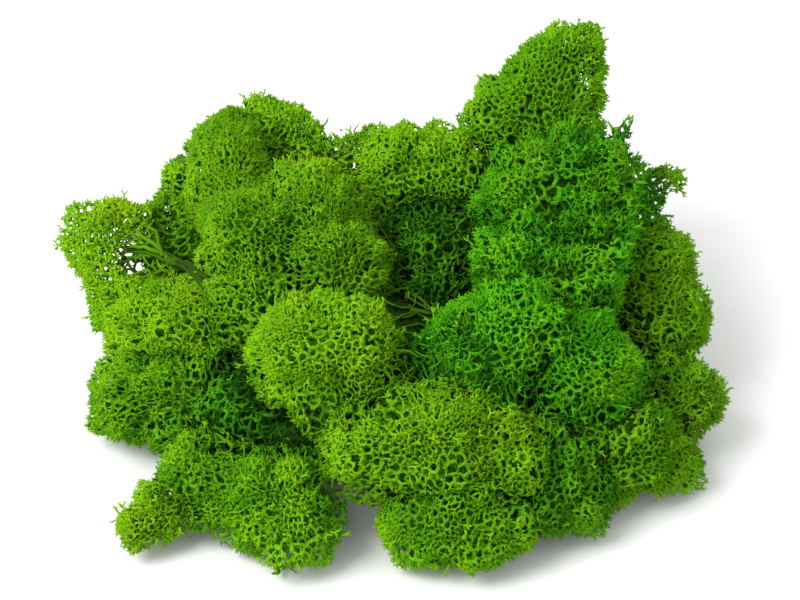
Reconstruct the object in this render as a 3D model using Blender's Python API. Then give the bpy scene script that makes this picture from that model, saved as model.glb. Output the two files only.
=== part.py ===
"""Reindeer moss clump: rounded heads of forked tips pressed together over a bed of old stems.

Units are metres, +Z is up, and the origin lies on the flat underside of the middle bed of stems.
Every head is a cluster of round lobes. Where two heads meet, each keeps to its own side of the
plane between their lobes, so they press against one another with a thin gap and never overlap.
"""

import math
from dataclasses import dataclass

import bmesh
import bpy
import numpy as np
from mathutils import Vector

CLUMP = "reindeer_moss_clump"

# Fit between neighbouring heads, and the least that a face may keep to a shared plane
HEAD_GAP = 0.0004
SAFE_CLEARANCE = 0.0001

# A point this near the ground lies on it
GROUND_SNAP = 0.0002
TINY = 1e-6

# A face that bulges over a shared plane is drawn in by this share of its excess at a time,
# measured on rows of probes across it
DRAW_SHARE = 0.5
PROBE_ROWS = 6
MOST_DRAWS = 60

# Forked tips, drawn larger than life: three to a face, round a small cup
TIP_SPACING = 0.0073
TIP_HEIGHT = 0.0038
TIP_SPREAD = 0.44
CUP_DEPTH = 0.0026
TIP_VARIATION = 0.28
TIP_JITTER = 0.15

# Points on a head are picked until none lies further than this share of the spacing from another
PICKING_SHARE = 0.80

# Strands of the old stems in the bed, with hollows between them
STRAND_SPACING = 0.0095
STRAND_DEPTH = 0.0026
STRAND_HOLE = 0.60

# Relief grows to its full depth over this distance from a seam between heads, and a face stays
# plain where its tips would look at a neighbour or at the ground from this near
SEAM_WIDTH = 0.0030
TIP_OUTLOOK = 0.0045
STRAND_OUTLOOK = 0.0010

# How finely a head is measured before its tips are laid out
SURVEY_DIRECTIONS = 1400
SURVEY_STEP = 0.0005

# The bare stem that carries the left arm
ARM_STEM_RADIUS = 0.0014
ARM_STEM_FOOT_RADIUS = 0.0019

SEED = 4127


@dataclass(frozen=True)
class Lobe:
    """One round lobe: its centre and its radius out to the tips."""

    x: float
    y: float
    z: float
    radius: float


@dataclass(frozen=True)
class Relief:
    """How far each level of one raised face lies below the outermost reach of its lobe."""

    spacing: float
    corner_drop: float
    ring_drop: float
    middle_drop: float
    ring_share: float
    variation: float
    outlook: float


@dataclass(frozen=True)
class Head:
    """One separate growth of the clump: its lobes, its colour (sRGB) and its relief."""

    name: str
    colour: tuple
    relief: Relief
    lobes: tuple


TIPS = Relief(TIP_SPACING, TIP_HEIGHT, 0.0, CUP_DEPTH, TIP_SPREAD, TIP_VARIATION,
              TIP_OUTLOOK)
STRANDS = Relief(STRAND_SPACING, 0.0, STRAND_DEPTH, STRAND_DEPTH, STRAND_HOLE, TIP_VARIATION,
                 STRAND_OUTLOOK)

LIME = (0.45, 0.62, 0.06)
VIVID = (0.17, 0.55, 0.05)
DEEP = (0.10, 0.38, 0.03)
OLIVE = (0.28, 0.43, 0.04)
OLD_STEM = (0.12, 0.24, 0.02)

HEADS = (
    Head("left_arm", LIME, TIPS, (
        Lobe(-0.082, 0.043, 0.031, 0.0065),
        Lobe(-0.073, 0.036, 0.032, 0.0105),
        Lobe(-0.073, 0.027, 0.025, 0.0105),
        Lobe(-0.064, 0.039, 0.033, 0.0070))),
    Head("upper_left", VIVID, TIPS, (
        Lobe(-0.055, 0.053, 0.032, 0.0120),
        Lobe(-0.056, 0.042, 0.026, 0.0120),
        Lobe(-0.051, 0.051, 0.014, 0.0155))),
    Head("upper_left_front", OLIVE, TIPS, (
        Lobe(-0.044, 0.051, 0.049, 0.0110),
        Lobe(-0.042, 0.039, 0.043, 0.0125),
        Lobe(-0.051, 0.057, 0.048, 0.0060))),
    Head("top_left_back", DEEP, TIPS, (
        Lobe(-0.035, 0.070, 0.042, 0.0115),
        Lobe(-0.024, 0.063, 0.039, 0.0110),
        Lobe(-0.029, 0.062, 0.016, 0.0160))),
    Head("top_small", VIVID, TIPS, (
        Lobe(-0.012, 0.062, 0.041, 0.0090),
        Lobe(-0.007, 0.060, 0.018, 0.0140))),
    Head("centre_left", OLIVE, TIPS, (
        Lobe(-0.037, 0.018, 0.044, 0.0145),
        Lobe(-0.020, 0.026, 0.046, 0.0145),
        Lobe(-0.013, 0.009, 0.042, 0.0135),
        Lobe(-0.035, 0.002, 0.034, 0.0130))),
    Head("centre", LIME, TIPS, (
        Lobe(-0.024, -0.020, 0.037, 0.0150),
        Lobe(-0.009, -0.021, 0.039, 0.0150),
        Lobe(-0.013, -0.023, 0.024, 0.0140))),
    Head("left", LIME, TIPS, (
        Lobe(-0.064, 0.011, 0.021, 0.0130),
        Lobe(-0.050, 0.003, 0.025, 0.0140),
        Lobe(-0.059, 0.023, 0.012, 0.0150))),
    Head("left_low", VIVID, TIPS, (
        Lobe(-0.066, -0.010, 0.013, 0.0120),
        Lobe(-0.053, -0.012, 0.016, 0.0140))),
    Head("left_gap", DEEP, TIPS, (
        Lobe(-0.038, -0.018, 0.017, 0.0135),
        Lobe(-0.024, -0.025, 0.013, 0.0125))),
    Head("front_left", VIVID, TIPS, (
        Lobe(-0.046, -0.037, 0.011, 0.0125),
        Lobe(-0.032, -0.044, 0.012, 0.0140),
        Lobe(-0.021, -0.049, 0.010, 0.0115))),
    Head("front_left_foot", VIVID, TIPS, (
        Lobe(-0.062, -0.048, 0.006, 0.0070),
        Lobe(-0.056, -0.043, 0.008, 0.0105))),
    Head("front_middle", LIME, TIPS, (
        Lobe(-0.002, -0.040, 0.021, 0.0140),
        Lobe(0.013, -0.041, 0.024, 0.0155),
        Lobe(0.026, -0.042, 0.018, 0.0125))),
    Head("front_low", VIVID, TIPS, (
        Lobe(0.008, -0.053, 0.009, 0.0115),
        Lobe(0.016, -0.050, 0.011, 0.0135),
        Lobe(0.023, -0.052, 0.009, 0.0115))),
    Head("top_centre", OLIVE, TIPS, (
        Lobe(0.001, 0.049, 0.046, 0.0135),
        Lobe(0.015, 0.050, 0.044, 0.0135),
        Lobe(0.009, 0.054, 0.018, 0.0170))),
    Head("inner_gap", DEEP, TIPS, (
        Lobe(0.009, 0.032, 0.034, 0.0130),
        Lobe(0.007, 0.016, 0.027, 0.0130))),
    Head("tall", VIVID, TIPS, (
        Lobe(0.048, 0.068, 0.067, 0.0105),
        Lobe(0.040, 0.064, 0.063, 0.0120),
        Lobe(0.030, 0.059, 0.057, 0.0115),
        Lobe(0.042, 0.059, 0.052, 0.0140),
        Lobe(0.037, 0.059, 0.034, 0.0165),
        Lobe(0.036, 0.058, 0.016, 0.0170))),
    Head("right_upper", DEEP, TIPS, (
        Lobe(0.047, 0.034, 0.053, 0.0150),
        Lobe(0.059, 0.034, 0.045, 0.0140),
        Lobe(0.034, 0.027, 0.049, 0.0145),
        Lobe(0.050, 0.017, 0.046, 0.0140))),
    Head("right_spur", VIVID, TIPS, (
        Lobe(0.068, 0.049, 0.038, 0.0080),
        Lobe(0.060, 0.048, 0.018, 0.0160))),
    Head("right_net", VIVID, TIPS, (
        Lobe(0.031, 0.004, 0.044, 0.0140),
        Lobe(0.047, 0.002, 0.041, 0.0135))),
    Head("right", OLIVE, TIPS, (
        Lobe(0.067, 0.024, 0.032, 0.0135),
        Lobe(0.069, 0.010, 0.024, 0.0135),
        Lobe(0.064, 0.023, 0.013, 0.0140))),
    Head("centre_right", VIVID, TIPS, (
        Lobe(0.015, -0.019, 0.036, 0.0140),
        Lobe(0.030, -0.019, 0.041, 0.0140),
        Lobe(0.022, -0.024, 0.028, 0.0140))),
    Head("right_low", VIVID, TIPS, (
        Lobe(0.048, -0.021, 0.031, 0.0155),)),
    Head("right_edge", LIME, TIPS, (
        Lobe(0.070, -0.012, 0.014, 0.0120),
        Lobe(0.067, -0.026, 0.009, 0.0110),
        Lobe(0.058, -0.027, 0.014, 0.0130))),
    Head("front_right", DEEP, TIPS, (
        Lobe(0.042, -0.036, 0.014, 0.0135),
        Lobe(0.042, -0.043, 0.009, 0.0110),
        Lobe(0.052, -0.036, 0.010, 0.0115))),
    Head("stems_left", OLD_STEM, STRANDS, (
        Lobe(-0.038, 0.030, 0.016, 0.0170),
        Lobe(-0.032, 0.006, 0.014, 0.0170),
        Lobe(-0.030, 0.046, 0.013, 0.0140))),
    Head("stems_middle", OLD_STEM, STRANDS, (
        Lobe(0.000, 0.000, 0.016, 0.0200),
        Lobe(-0.009, 0.026, 0.020, 0.0200),
        Lobe(0.010, -0.022, 0.012, 0.0140),
        Lobe(0.008, 0.042, 0.012, 0.0150))),
    Head("stems_right", OLD_STEM, STRANDS, (
        Lobe(0.036, 0.026, 0.018, 0.0200),
        Lobe(0.040, 0.000, 0.017, 0.0190),
        Lobe(0.034, -0.018, 0.014, 0.0150),
        Lobe(0.040, 0.044, 0.013, 0.0150))),
)

# The bare stem of the left arm, from inside its crown to the dark gap between the heads
ARM_STEM_HEAD = "left_arm"
ARM_STEM_POINTS = (
    Vector((-0.072, 0.034, 0.030)),
    Vector((-0.064, 0.031, 0.032)),
    Vector((-0.057, 0.027, 0.031)),
    Vector((-0.050, 0.022, 0.028)),
)


def lobe_table(lobes):
    """Centres and radii of the lobes as arrays."""
    table = np.array([(lobe.x, lobe.y, lobe.z, lobe.radius) for lobe in lobes])
    return table[:, :3], table[:, 3]


def even_directions(count):
    """Unit vectors spread evenly over the sphere along a golden spiral."""
    turn = np.arange(count)
    height = 1.0 - 2.0 * (turn + 0.5) / count
    angle = turn * math.pi * (3.0 - math.sqrt(5.0))
    flat = np.sqrt(1.0 - height ** 2)
    return np.stack((np.cos(angle) * flat, np.sin(angle) * flat, height), axis=1)


def unit(vectors):
    """The vectors scaled to length one."""
    return vectors / np.linalg.norm(vectors, axis=-1, keepdims=True)


class Growth:
    """The free space of one head: how far it reaches from its heart in any direction."""

    def __init__(self, head, rivals):
        self.centres, self.radii = lobe_table(head.lobes)
        self.heart = np.average(self.centres, axis=0, weights=self.radii ** 2)
        self.span = np.max(np.linalg.norm(self.centres - self.heart, axis=1) + self.radii)
        far_centres, far_radii = lobe_table(rivals)
        near = np.linalg.norm(far_centres - self.heart, axis=1) < self.span + far_radii
        self.rival_centres = far_centres[near]
        self.rival_radii = far_radii[near]
        apart = self.centres[:, None, :] - self.rival_centres[None, :, :]
        self.spread = np.linalg.norm(apart, axis=2)

    def clearance(self, points):
        """How deep each point lies on this head's side of the planes it shares with others."""
        own = self.power(points, self.centres, self.radii)
        rival = self.power(points, self.rival_centres, self.rival_radii)
        side = (rival[:, None, :] - own[:, :, None]) / (2.0 * self.spread)
        return side.min(axis=2).max(axis=1)

    @staticmethod
    def power(points, centres, radii):
        """Squared distance of each point to each lobe, less the lobe's squared radius."""
        return np.sum((points[:, None, :] - centres[None, :, :]) ** 2, axis=2) - radii ** 2

    def open_reach(self, directions):
        """Distance from the heart to the outermost lobe along each direction."""
        along = directions @ (self.centres - self.heart).T
        offset = np.sum((self.centres - self.heart) ** 2, axis=1) - self.radii ** 2
        inside = along ** 2 - offset
        reach = np.where(inside > 0.0, along + np.sqrt(np.maximum(inside, 0.0)), 0.0)
        return reach.max(axis=1)

    def pressed_reach(self, directions):
        """Distance from the heart to the nearest neighbour or to the surface below."""
        steps = np.arange(SURVEY_STEP, self.span + SEAM_WIDTH + SURVEY_STEP, SURVEY_STEP)
        points = self.heart + directions[:, None, :] * steps[None, :, None]
        room = self.clearance(points.reshape(-1, 3)).reshape(len(directions), len(steps))
        room -= HEAD_GAP / 2.0
        blocked = room < 0.0
        first = np.where(blocked.any(axis=1), blocked.argmax(axis=1), len(steps) - 1)
        before = np.maximum(first - 1, 0)
        rows = np.arange(len(directions))
        near_room = room[rows, before]
        far_room = room[rows, first]
        share = np.where(blocked[rows, first], near_room / (near_room - far_room + TINY ** 2), 1.0)
        reach = steps[before] + np.clip(share, 0.0, 1.0) * SURVEY_STEP
        falling = -directions[:, 2]
        floor = np.where(falling > TINY, self.heart[2] / np.maximum(falling, TINY), np.inf)
        return np.minimum(reach, floor)

    def in_sight(self, directions, outlook):
        """Whether the head's surface is open there, with no neighbour or ground close before it."""
        reach = self.open_reach(directions)
        ahead = self.heart + directions * (reach + outlook)[:, None]
        rival = self.power(ahead, self.rival_centres, self.rival_radii).min(axis=1)
        return (reach < self.pressed_reach(directions)) & (rival > 0.0) & (ahead[:, 2] > 0.0)

    def place(self, directions, drop):
        """Points of the surface along the directions, lowered by drop where it is open."""
        open_reach = self.open_reach(directions)
        pressed_reach = self.pressed_reach(directions)
        openness = np.clip((pressed_reach - open_reach) / SEAM_WIDTH, 0.0, 1.0)
        reach = np.minimum(open_reach - drop * openness, pressed_reach)
        return self.heart + directions * reach[:, None]


def spread_evenly(growth, relief):
    """Directions whose points lie about one spacing apart on the head's surface."""
    directions = even_directions(SURVEY_DIRECTIONS)
    points = growth.place(directions, relief.corner_drop)
    chosen = [int(np.argmax(points[:, 2]))]
    nearest = np.linalg.norm(points - points[chosen[0]], axis=1)
    while nearest.max() > relief.spacing * PICKING_SHARE:
        farthest = int(np.argmax(nearest))
        chosen.append(farthest)
        nearest = np.minimum(nearest, np.linalg.norm(points - points[farthest], axis=1))
    return directions[chosen]


def net_of_faces(directions):
    """Triangles that join neighbouring directions into one closed net."""
    net = bmesh.new()
    for direction in directions:
        net.verts.new(direction)
    bmesh.ops.convex_hull(net, input=net.verts)
    bmesh.ops.triangulate(net, faces=net.faces)
    net.verts.index_update()
    faces = []
    for face in net.faces:
        corners = [vert.index for vert in face.verts]
        normal = np.cross(directions[corners[1]] - directions[corners[0]],
                          directions[corners[2]] - directions[corners[0]])
        if normal @ directions[corners[0]] < 0.0:
            corners.reverse()
        faces.append(corners)
    net.free()
    return np.array(faces)


def raised_mesh(growth, relief, seed):
    """Vertices and faces of a head, with each open face raised into forked tips or strands."""
    draw = np.random.default_rng(seed)
    directions = spread_evenly(growth, relief)
    faces = net_of_faces(directions)
    middles = unit(directions[faces].sum(axis=1))
    open_face = growth.in_sight(middles, relief.outlook)

    wave = 1.0 + relief.variation * draw.uniform(-1.0, 1.0, len(directions))
    corners = growth.place(directions, relief.corner_drop * wave)
    raised = faces[open_face]
    share = relief.ring_share * (1.0 + TIP_JITTER * draw.uniform(-1.0, 1.0, (len(raised), 3, 1)))
    blend = middles[open_face][:, None, :] * (1.0 - share) + directions[raised] * share
    ring_directions = unit(blend.reshape(-1, 3))
    lift = relief.corner_drop * relief.variation * draw.uniform(0.0, 1.0, len(ring_directions))
    rings = growth.place(ring_directions, relief.ring_drop + lift)
    pits = growth.place(middles[open_face], np.full(len(raised), relief.middle_drop))

    vertices = np.concatenate((corners, rings, pits))
    triangles = [tuple(face) for face in faces[~open_face]]
    first_pit = len(corners) + len(rings)
    for number, face in enumerate(raised):
        ring = [len(corners) + 3 * number + step for step in range(3)]
        for step in range(3):
            after = (step + 1) % 3
            triangles.append((face[step], face[after], ring[after]))
            triangles.append((face[step], ring[after], ring[step]))
            triangles.append((ring[step], ring[after], first_pit + number))
    return vertices, triangles


def keep_clear(growth, vertices, triangles):
    """Draws in the corners of any face that bulges over the plane shared with a neighbour."""
    triangles = np.array(triangles)
    shares = np.array([(a, b, PROBE_ROWS - a - b)
                       for a in range(PROBE_ROWS + 1)
                       for b in range(PROBE_ROWS + 1 - a)]) / PROBE_ROWS
    for _ in range(MOST_DRAWS):
        probes = np.einsum("pc,tcx->ptx", shares, vertices[triangles]).reshape(-1, 3)
        excess = SAFE_CLEARANCE - growth.clearance(probes)
        if excess.max() <= 0.0:
            break
        excess = np.maximum(excess.reshape(len(shares), -1, 1) * (shares[:, None, :] > 0.0), 0.0)
        draw = np.zeros(len(vertices))
        np.maximum.at(draw, triangles, excess.max(axis=0))
        vertices += unit(growth.heart - vertices) * (draw * DRAW_SHARE)[:, None]
    vertices[:, 2] = np.where(vertices[:, 2] < GROUND_SNAP, 0.0, vertices[:, 2])
    return vertices


def moss_material(name, colour):
    """A dull plant finish in one colour, given as sRGB."""
    material = bpy.data.materials.new(name)
    material.use_nodes = True
    shader = material.node_tree.nodes["Principled BSDF"]
    linear = [channel ** 2.2 for channel in colour]
    shader.inputs["Base Color"].default_value = (*linear, 1.0)
    shader.inputs["Roughness"].default_value = 0.8
    shader.inputs["Metallic"].default_value = 0.0
    return material


def moss_head(head, rivals, seed, collection):
    """Builds one head as a closed mesh object."""
    growth = Growth(head, rivals)
    vertices, triangles = raised_mesh(growth, head.relief, seed)
    vertices = keep_clear(growth, vertices, triangles)
    mesh = bpy.data.meshes.new(head.name)
    mesh.from_pydata(vertices.tolist(), [], [tuple(int(i) for i in face) for face in triangles])
    mesh.validate()
    mesh.materials.append(moss_material(f"{head.name}_moss", head.colour))
    body = bpy.data.objects.new(head.name, mesh)
    collection.objects.link(body)
    return body


def arm_stem(collection):
    """The bare stem that shows in the left arm, as a tapered tube."""
    curve = bpy.data.curves.new("arm_stem", "CURVE")
    curve.dimensions = "3D"
    curve.bevel_depth = ARM_STEM_RADIUS
    curve.bevel_resolution = 1
    curve.use_fill_caps = True
    spline = curve.splines.new("POLY")
    spline.points.add(len(ARM_STEM_POINTS) - 1)
    last = len(ARM_STEM_POINTS) - 1
    thickening = ARM_STEM_FOOT_RADIUS / ARM_STEM_RADIUS - 1.0
    for number, point in enumerate(ARM_STEM_POINTS):
        spline.points[number].co = (*point, 1.0)
        spline.points[number].radius = 1.0 + thickening * number / last
    tube = bpy.data.objects.new("arm_stem", curve)
    collection.objects.link(tube)
    bpy.context.view_layer.update()
    evaluated = tube.evaluated_get(bpy.context.evaluated_depsgraph_get())
    mesh = bpy.data.meshes.new_from_object(evaluated)
    bpy.data.objects.remove(tube)
    welded = bmesh.new()
    welded.from_mesh(mesh)
    bmesh.ops.remove_doubles(welded, verts=welded.verts, dist=TINY)
    bmesh.ops.recalc_face_normals(welded, faces=welded.faces)
    welded.to_mesh(mesh)
    welded.free()
    solid = bpy.data.objects.new("arm_stem_solid", mesh)
    collection.objects.link(solid)
    return solid


def join_stem(body, stem):
    """Unites the stem with the head that it carries, then removes the loose stem."""
    union = body.modifiers.new("stem_union", "BOOLEAN")
    union.operation = "UNION"
    union.object = stem
    bpy.context.view_layer.update()
    evaluated = body.evaluated_get(bpy.context.evaluated_depsgraph_get())
    joined = bpy.data.meshes.new_from_object(evaluated)
    body.modifiers.remove(union)
    body.data = joined
    bpy.data.objects.remove(stem)


def main():
    """Clears the file and grows every head of the clump in its own space."""
    for old in list(bpy.data.objects):
        bpy.data.objects.remove(old)
    clump = bpy.data.collections.new(CLUMP)
    bpy.context.scene.collection.children.link(clump)
    total = 0
    for number, head in enumerate(HEADS):
        rivals = [lobe for other in HEADS if other is not head for lobe in other.lobes]
        body = moss_head(head, rivals, SEED + number, clump)
        if head.name == ARM_STEM_HEAD:
            join_stem(body, arm_stem(clump))
        total += len(body.data.polygons)
        print(f"{head.name}: {len(body.data.polygons)} faces")
    print(f"total: {total} faces")


main()
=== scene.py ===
"""Looks of the reindeer moss clump: every head is a fine net carried by forked branches.

A head is a cluster of round lobes, blended with the lobes of its neighbours. Pores are scattered
under the surface that they share, and a net is woven around them: webs widen its limbs, and
pointed arms, tips and sprigs rise from its joints. A second, coarser net lies below. Branches
carry both nets on thicker forks, over a matted core with loose twigs.
"""

import logging
import math
from dataclasses import dataclass, field
from enum import Enum
from itertools import product

import bmesh
import bpy
import numpy as np
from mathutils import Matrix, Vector, kdtree


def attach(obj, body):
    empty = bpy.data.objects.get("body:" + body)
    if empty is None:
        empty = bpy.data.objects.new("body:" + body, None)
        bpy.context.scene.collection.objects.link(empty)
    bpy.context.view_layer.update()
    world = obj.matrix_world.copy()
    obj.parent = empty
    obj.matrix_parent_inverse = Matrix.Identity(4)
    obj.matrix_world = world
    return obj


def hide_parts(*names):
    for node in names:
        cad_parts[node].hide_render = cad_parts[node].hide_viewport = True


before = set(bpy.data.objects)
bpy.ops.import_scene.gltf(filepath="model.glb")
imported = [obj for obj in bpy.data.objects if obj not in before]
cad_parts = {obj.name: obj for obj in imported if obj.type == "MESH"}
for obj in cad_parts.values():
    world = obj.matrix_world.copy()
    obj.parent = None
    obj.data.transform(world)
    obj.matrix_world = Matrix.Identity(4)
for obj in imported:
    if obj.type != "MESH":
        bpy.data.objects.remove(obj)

LOG = logging.getLogger("reindeer_moss")
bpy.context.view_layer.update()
BODY = "root"
SEED = 907
FIRST_HEAD_SEED = SEED + 10
MILLIMETRES = 1000.0
TINY = 1e-9
GOLDEN_TURN = math.pi * (3.0 - math.sqrt(5.0))

# How finely a head's free space is measured, with lengths in metres
MARCH_STEP = 0.0018
MARCH_BATCH = 1500
SPARE_STEPS = 5.0
RIVAL_MARGIN = 0.006

# The surface that all heads share, and where a head ends beside others and the ground, in metres
LOBE_BLEND = 0.0034
BURIED_REACH = 0.0035
SEAM_REACH = 0.0034
SEAM_GAP = 0.0001
GROUND_CLEARANCE = 0.0003

# Metres over which a seam changes the net and paints shade into its colour, and millimetres of
# depth that this painted shade adds
SEAM_SHADE = 0.0040
SEAM_PAINTED_SHADE = 1.5

# Directions tried for each point of a layer, and how loosely they are strewn
DIRECTION_SUPPLY = 6.0
DIRECTION_LOOSENESS = 0.35

# How the distance between points varies, as shares of the spacing
TIGHTNESS = 0.80
SPACING_WAVE = 0.26
SPACING_LIMITS = (0.72, 1.45)
SPACING_SPREAD = (0.72, 1.30)
SEAM_WIDENING = 0.25
LOW_WIDENING = 0.45

# Height of the underside in metres, and the multiple of it below which the spacing widens
UNDERSIDE = 0.0030
LOW_ONSET = 1.6

# Longest face edge, limb and web, and the shift of the joints, as shares of the pores' spacing
WIDEST_FACE = 2.7
WIDEST_LIMB = 1.25
WIDEST_WEB = 0.34
JOINT_SHIFT = (0.0, 0.26)

# How the joints sink between the crowns of the forks
LUMP_LEVEL_SHARE = 0.8
LUMP_REACH = 0.55
LUMP_LIMIT = 1.4

# How the holes in the webs vary and how round they are, as shares of their usual size
HOLE_SPREAD = (0.8, 1.2)
FALL_SPREAD = (0.5, 1.6)
RIM_SPREAD = (0.8, 1.1)
ROUND_SHARE = 0.4
OWN_SHARE = 0.6
WIDEST_HOLE = 0.88

# How arms, tips and sprigs vary, as shares of their usual size
ARM_REACH_SPREAD = (0.75, 1.3)
ARM_RISE_SPREAD = (0.2, 1.8)
ARM_THICKNESS = 1.15
TIP_LEAN_SPREAD = (0.2, 1.3)
TIP_LENGTH_SPREAD = (0.6, 1.35)
TIP_THICKNESS = 0.95
SPRIG_LEAN_SPREAD = (0.1, 0.8)
SPRIG_SIZE_SPREAD = (0.5, 1.3)
SPRIG_TAPER = (1.4, 1.1)
FORK_PLACE = 0.94
PRONG_LEAN_SPREAD = (0.5, 1.0)
PRONG_SIZE_SPREAD = (0.45, 0.8)
PRONG_TAPER = (1.1, 0.8)
PRONG_TIPS = (0.0, 0.0, 0.0, 0.4)

# How far a branch runs straight on at its foot and at its head, as shares of its length
FOOT_PULL = 0.25
HEAD_PULL = 0.35

# Rounds in which the corners of a stem are cut, and the share cut off each side
CORNER_ROUNDS = 2
CORNER_CUT = 0.25

# Depths in millimetres that give webs, strands and core their colour; the deeper ones fall into
# painted shade
LIMB_DEPTH = 0.5
RIM_DEPTH = 1.7
ARM_FOOT_DEPTH = 0.8
TIP_FOOT_DEPTH = 0.9
SPRIG_DEPTHS = (0.9, 0.3)
TWIG_DEPTHS = (5.8, 3.0)
CORE_COLOUR_DEPTH = 9.0

# Depths in millimetres between which one colour gives way to the next, from the own tip and body
# colours to painted shade and painted hollow shade
TIP_TO_BODY = (0.3, 2.2)
BODY_TO_SHADE = (2.5, 6.2)
SHADE_TO_HOLLOW_SHADE = (5.0, 7.0)
MATTED_FROM = (8.4, CORE_COLOUR_DEPTH)

# Brightness of the painted hollow shade as a share of the shade colour, and how strands lean from
# tip to body colour
HOLLOW_SHADE_SHARE = 0.55
TINT_SHAPE = (1.2, 2.6)

# The matted core: scale of its painted strands, their edges, and its roughness in millimetres
MAT_SCALE = 520.0
MAT_STRAND = (0.22, 0.06)
CORE_ROUGHNESS = (-0.9, 0.4)
CORE_SUBDIVISIONS = 3

# The dye's warmth: drift between parts, strength of the slow patches, and how full a blush is
PART_WARMTH = (-0.04, 0.04)
PATCH_WARMTH = 0.20
BLUSH_FULLNESS = 1.3

# The dry grain, and by how much it changes the roughness
GRAIN_SCALE = 2600.0
GRAIN_DETAIL = 3.0
GRAIN_ROUGHNESS = 0.12

# The curve between sRGB and linear light
SRGB_KNEE = 0.04045
SRGB_SLOPE = 12.92
SRGB_OFFSET = 0.055
SRGB_POWER = 2.4

# Places of the colour sockets on Blender's Mix node
MIX_FACTOR = 0
MIX_FIRST = 6
MIX_SECOND = 7
MIX_RESULT = 2


def unit(vectors: np.ndarray) -> np.ndarray:
    """Scale vectors to length one.

    Args:
        vectors: Vectors along the last axis.

    Returns:
        The same vectors at unit length.
    """
    return vectors / np.maximum(np.linalg.norm(vectors, axis=-1, keepdims=True), TINY)


def even_directions(count: int) -> np.ndarray:
    """Spread unit vectors evenly over the sphere along a golden spiral.

    Args:
        count: Number of vectors.

    Returns:
        Array of shape (count, 3).
    """
    turn = np.arange(count)
    height = 1.0 - 2.0 * (turn + 0.5) / count
    flat = np.sqrt(1.0 - height ** 2)
    angle = turn * GOLDEN_TURN
    return np.stack((np.cos(angle) * flat, np.sin(angle) * flat, height), axis=1)


def across(normals: np.ndarray, draw: np.random.Generator) -> np.ndarray:
    """Draw one random direction at right angles to each normal.

    Args:
        normals: Unit vectors of shape (n, 3).
        draw: Source of random numbers.

    Returns:
        Unit vectors of shape (n, 3).
    """
    loose = draw.normal(size=normals.shape)
    return unit(loose - normals * np.sum(loose * normals, axis=-1, keepdims=True))


@dataclass(frozen=True)
class Lobe:
    """One round lobe of a head: its centre and its radius out to the tips, in metres."""

    x: float
    y: float
    z: float
    radius: float


class Hue(Enum):
    """Names of the dyed finishes, one for each material slot of the record."""

    LIME = "lime_moss"
    VIVID = "vivid_moss"
    DEEP = "deep_moss"
    OLIVE = "olive_moss"
    OLD = "old_stems"


class Swell:
    """Slow swelling of a surface, as a sum of waves that run in all directions."""

    def __init__(self, shortest: float, longest: float, seed: int, waves: int = 14) -> None:
        """Draw the waves.

        Args:
            shortest: Shortest wavelength in metres.
            longest: Longest wavelength in metres.
            seed: Seed of the draw.
            waves: Number of waves.
        """
        draw = np.random.default_rng(seed)
        lengths = np.linspace(shortest, longest, waves)
        headings = unit(draw.normal(size=(waves, 3)))
        self.turns = headings * (2.0 * math.pi / lengths)[:, None]
        self.starts = draw.uniform(0.0, 2.0 * math.pi, waves)
        self.scale = math.sqrt(2.0 / waves)

    def at(self, points: np.ndarray) -> np.ndarray:
        """Give the swelling at points, about 1 at its crests and -1 in its hollows.

        Args:
            points: Points of shape (n, 3).

        Returns:
            One value for each point.
        """
        return np.sin(points @ self.turns.T + self.starts).sum(axis=1) * self.scale


FORM_SWELL = Swell(0.008, 0.022, SEED + 1)
DYE_SWELL = Swell(0.007, 0.030, SEED + 2)
SPACING_SWELL = Swell(0.006, 0.016, SEED + 3)


def new_group(name: str, inputs: tuple, outputs: tuple) -> bpy.types.NodeTree:
    """Start a shader node group.

    Args:
        name: The group's name.
        inputs: Pairs of socket name and socket type.
        outputs: Pairs of socket name and socket type.

    Returns:
        The group with its input and output nodes in place.
    """
    group = bpy.data.node_groups.new(name, "ShaderNodeTree")
    for socket, kind in inputs:
        group.interface.new_socket(name=socket, in_out="INPUT", socket_type=kind)
    for socket, kind in outputs:
        group.interface.new_socket(name=socket, in_out="OUTPUT", socket_type=kind)
    group.nodes.new("NodeGroupInput").name = "in"
    group.nodes.new("NodeGroupOutput").name = "out"
    return group


def attribute(group: bpy.types.NodeTree, name: str) -> bpy.types.NodeSocket:
    """Read one of the mesh's own values in a group.

    Args:
        group: The group that holds the node.
        name: The attribute's name.

    Returns:
        The value.
    """
    node = group.nodes.new("ShaderNodeAttribute")
    node.attribute_name = name
    return node.outputs["Fac"]


def mix_colours(group: bpy.types.NodeTree, factor: bpy.types.NodeSocket,
                first: bpy.types.NodeSocket, second: bpy.types.NodeSocket,
                blend: str = "MIX") -> bpy.types.NodeSocket:
    """Mix two colours in a group.

    Args:
        group: The group that holds the node.
        factor: Share of the second colour.
        first: Colour at factor 0.
        second: Colour at factor 1.
        blend: How the second colour goes over the first.

    Returns:
        The mixed colour.
    """
    mix = group.nodes.new("ShaderNodeMix")
    mix.data_type = "RGBA"
    mix.blend_type = blend
    group.links.new(factor, mix.inputs[MIX_FACTOR])
    group.links.new(first, mix.inputs[MIX_FIRST])
    group.links.new(second, mix.inputs[MIX_SECOND])
    return mix.outputs[MIX_RESULT]


def share_between(group: bpy.types.NodeTree, value: bpy.types.NodeSocket, low: float,
                  high: float) -> bpy.types.NodeSocket:
    """Turn a value into a smooth share between two limits.

    Args:
        group: The group that holds the node.
        value: The value to map.
        low: Value that gives 0.
        high: Value that gives 1.

    Returns:
        A share from 0 to 1.
    """
    ramp = group.nodes.new("ShaderNodeMapRange")
    ramp.interpolation_type = "SMOOTHSTEP"
    ramp.inputs["From Min"].default_value = low
    ramp.inputs["From Max"].default_value = high
    group.links.new(value, ramp.inputs["Value"])
    return ramp.outputs["Result"]


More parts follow.
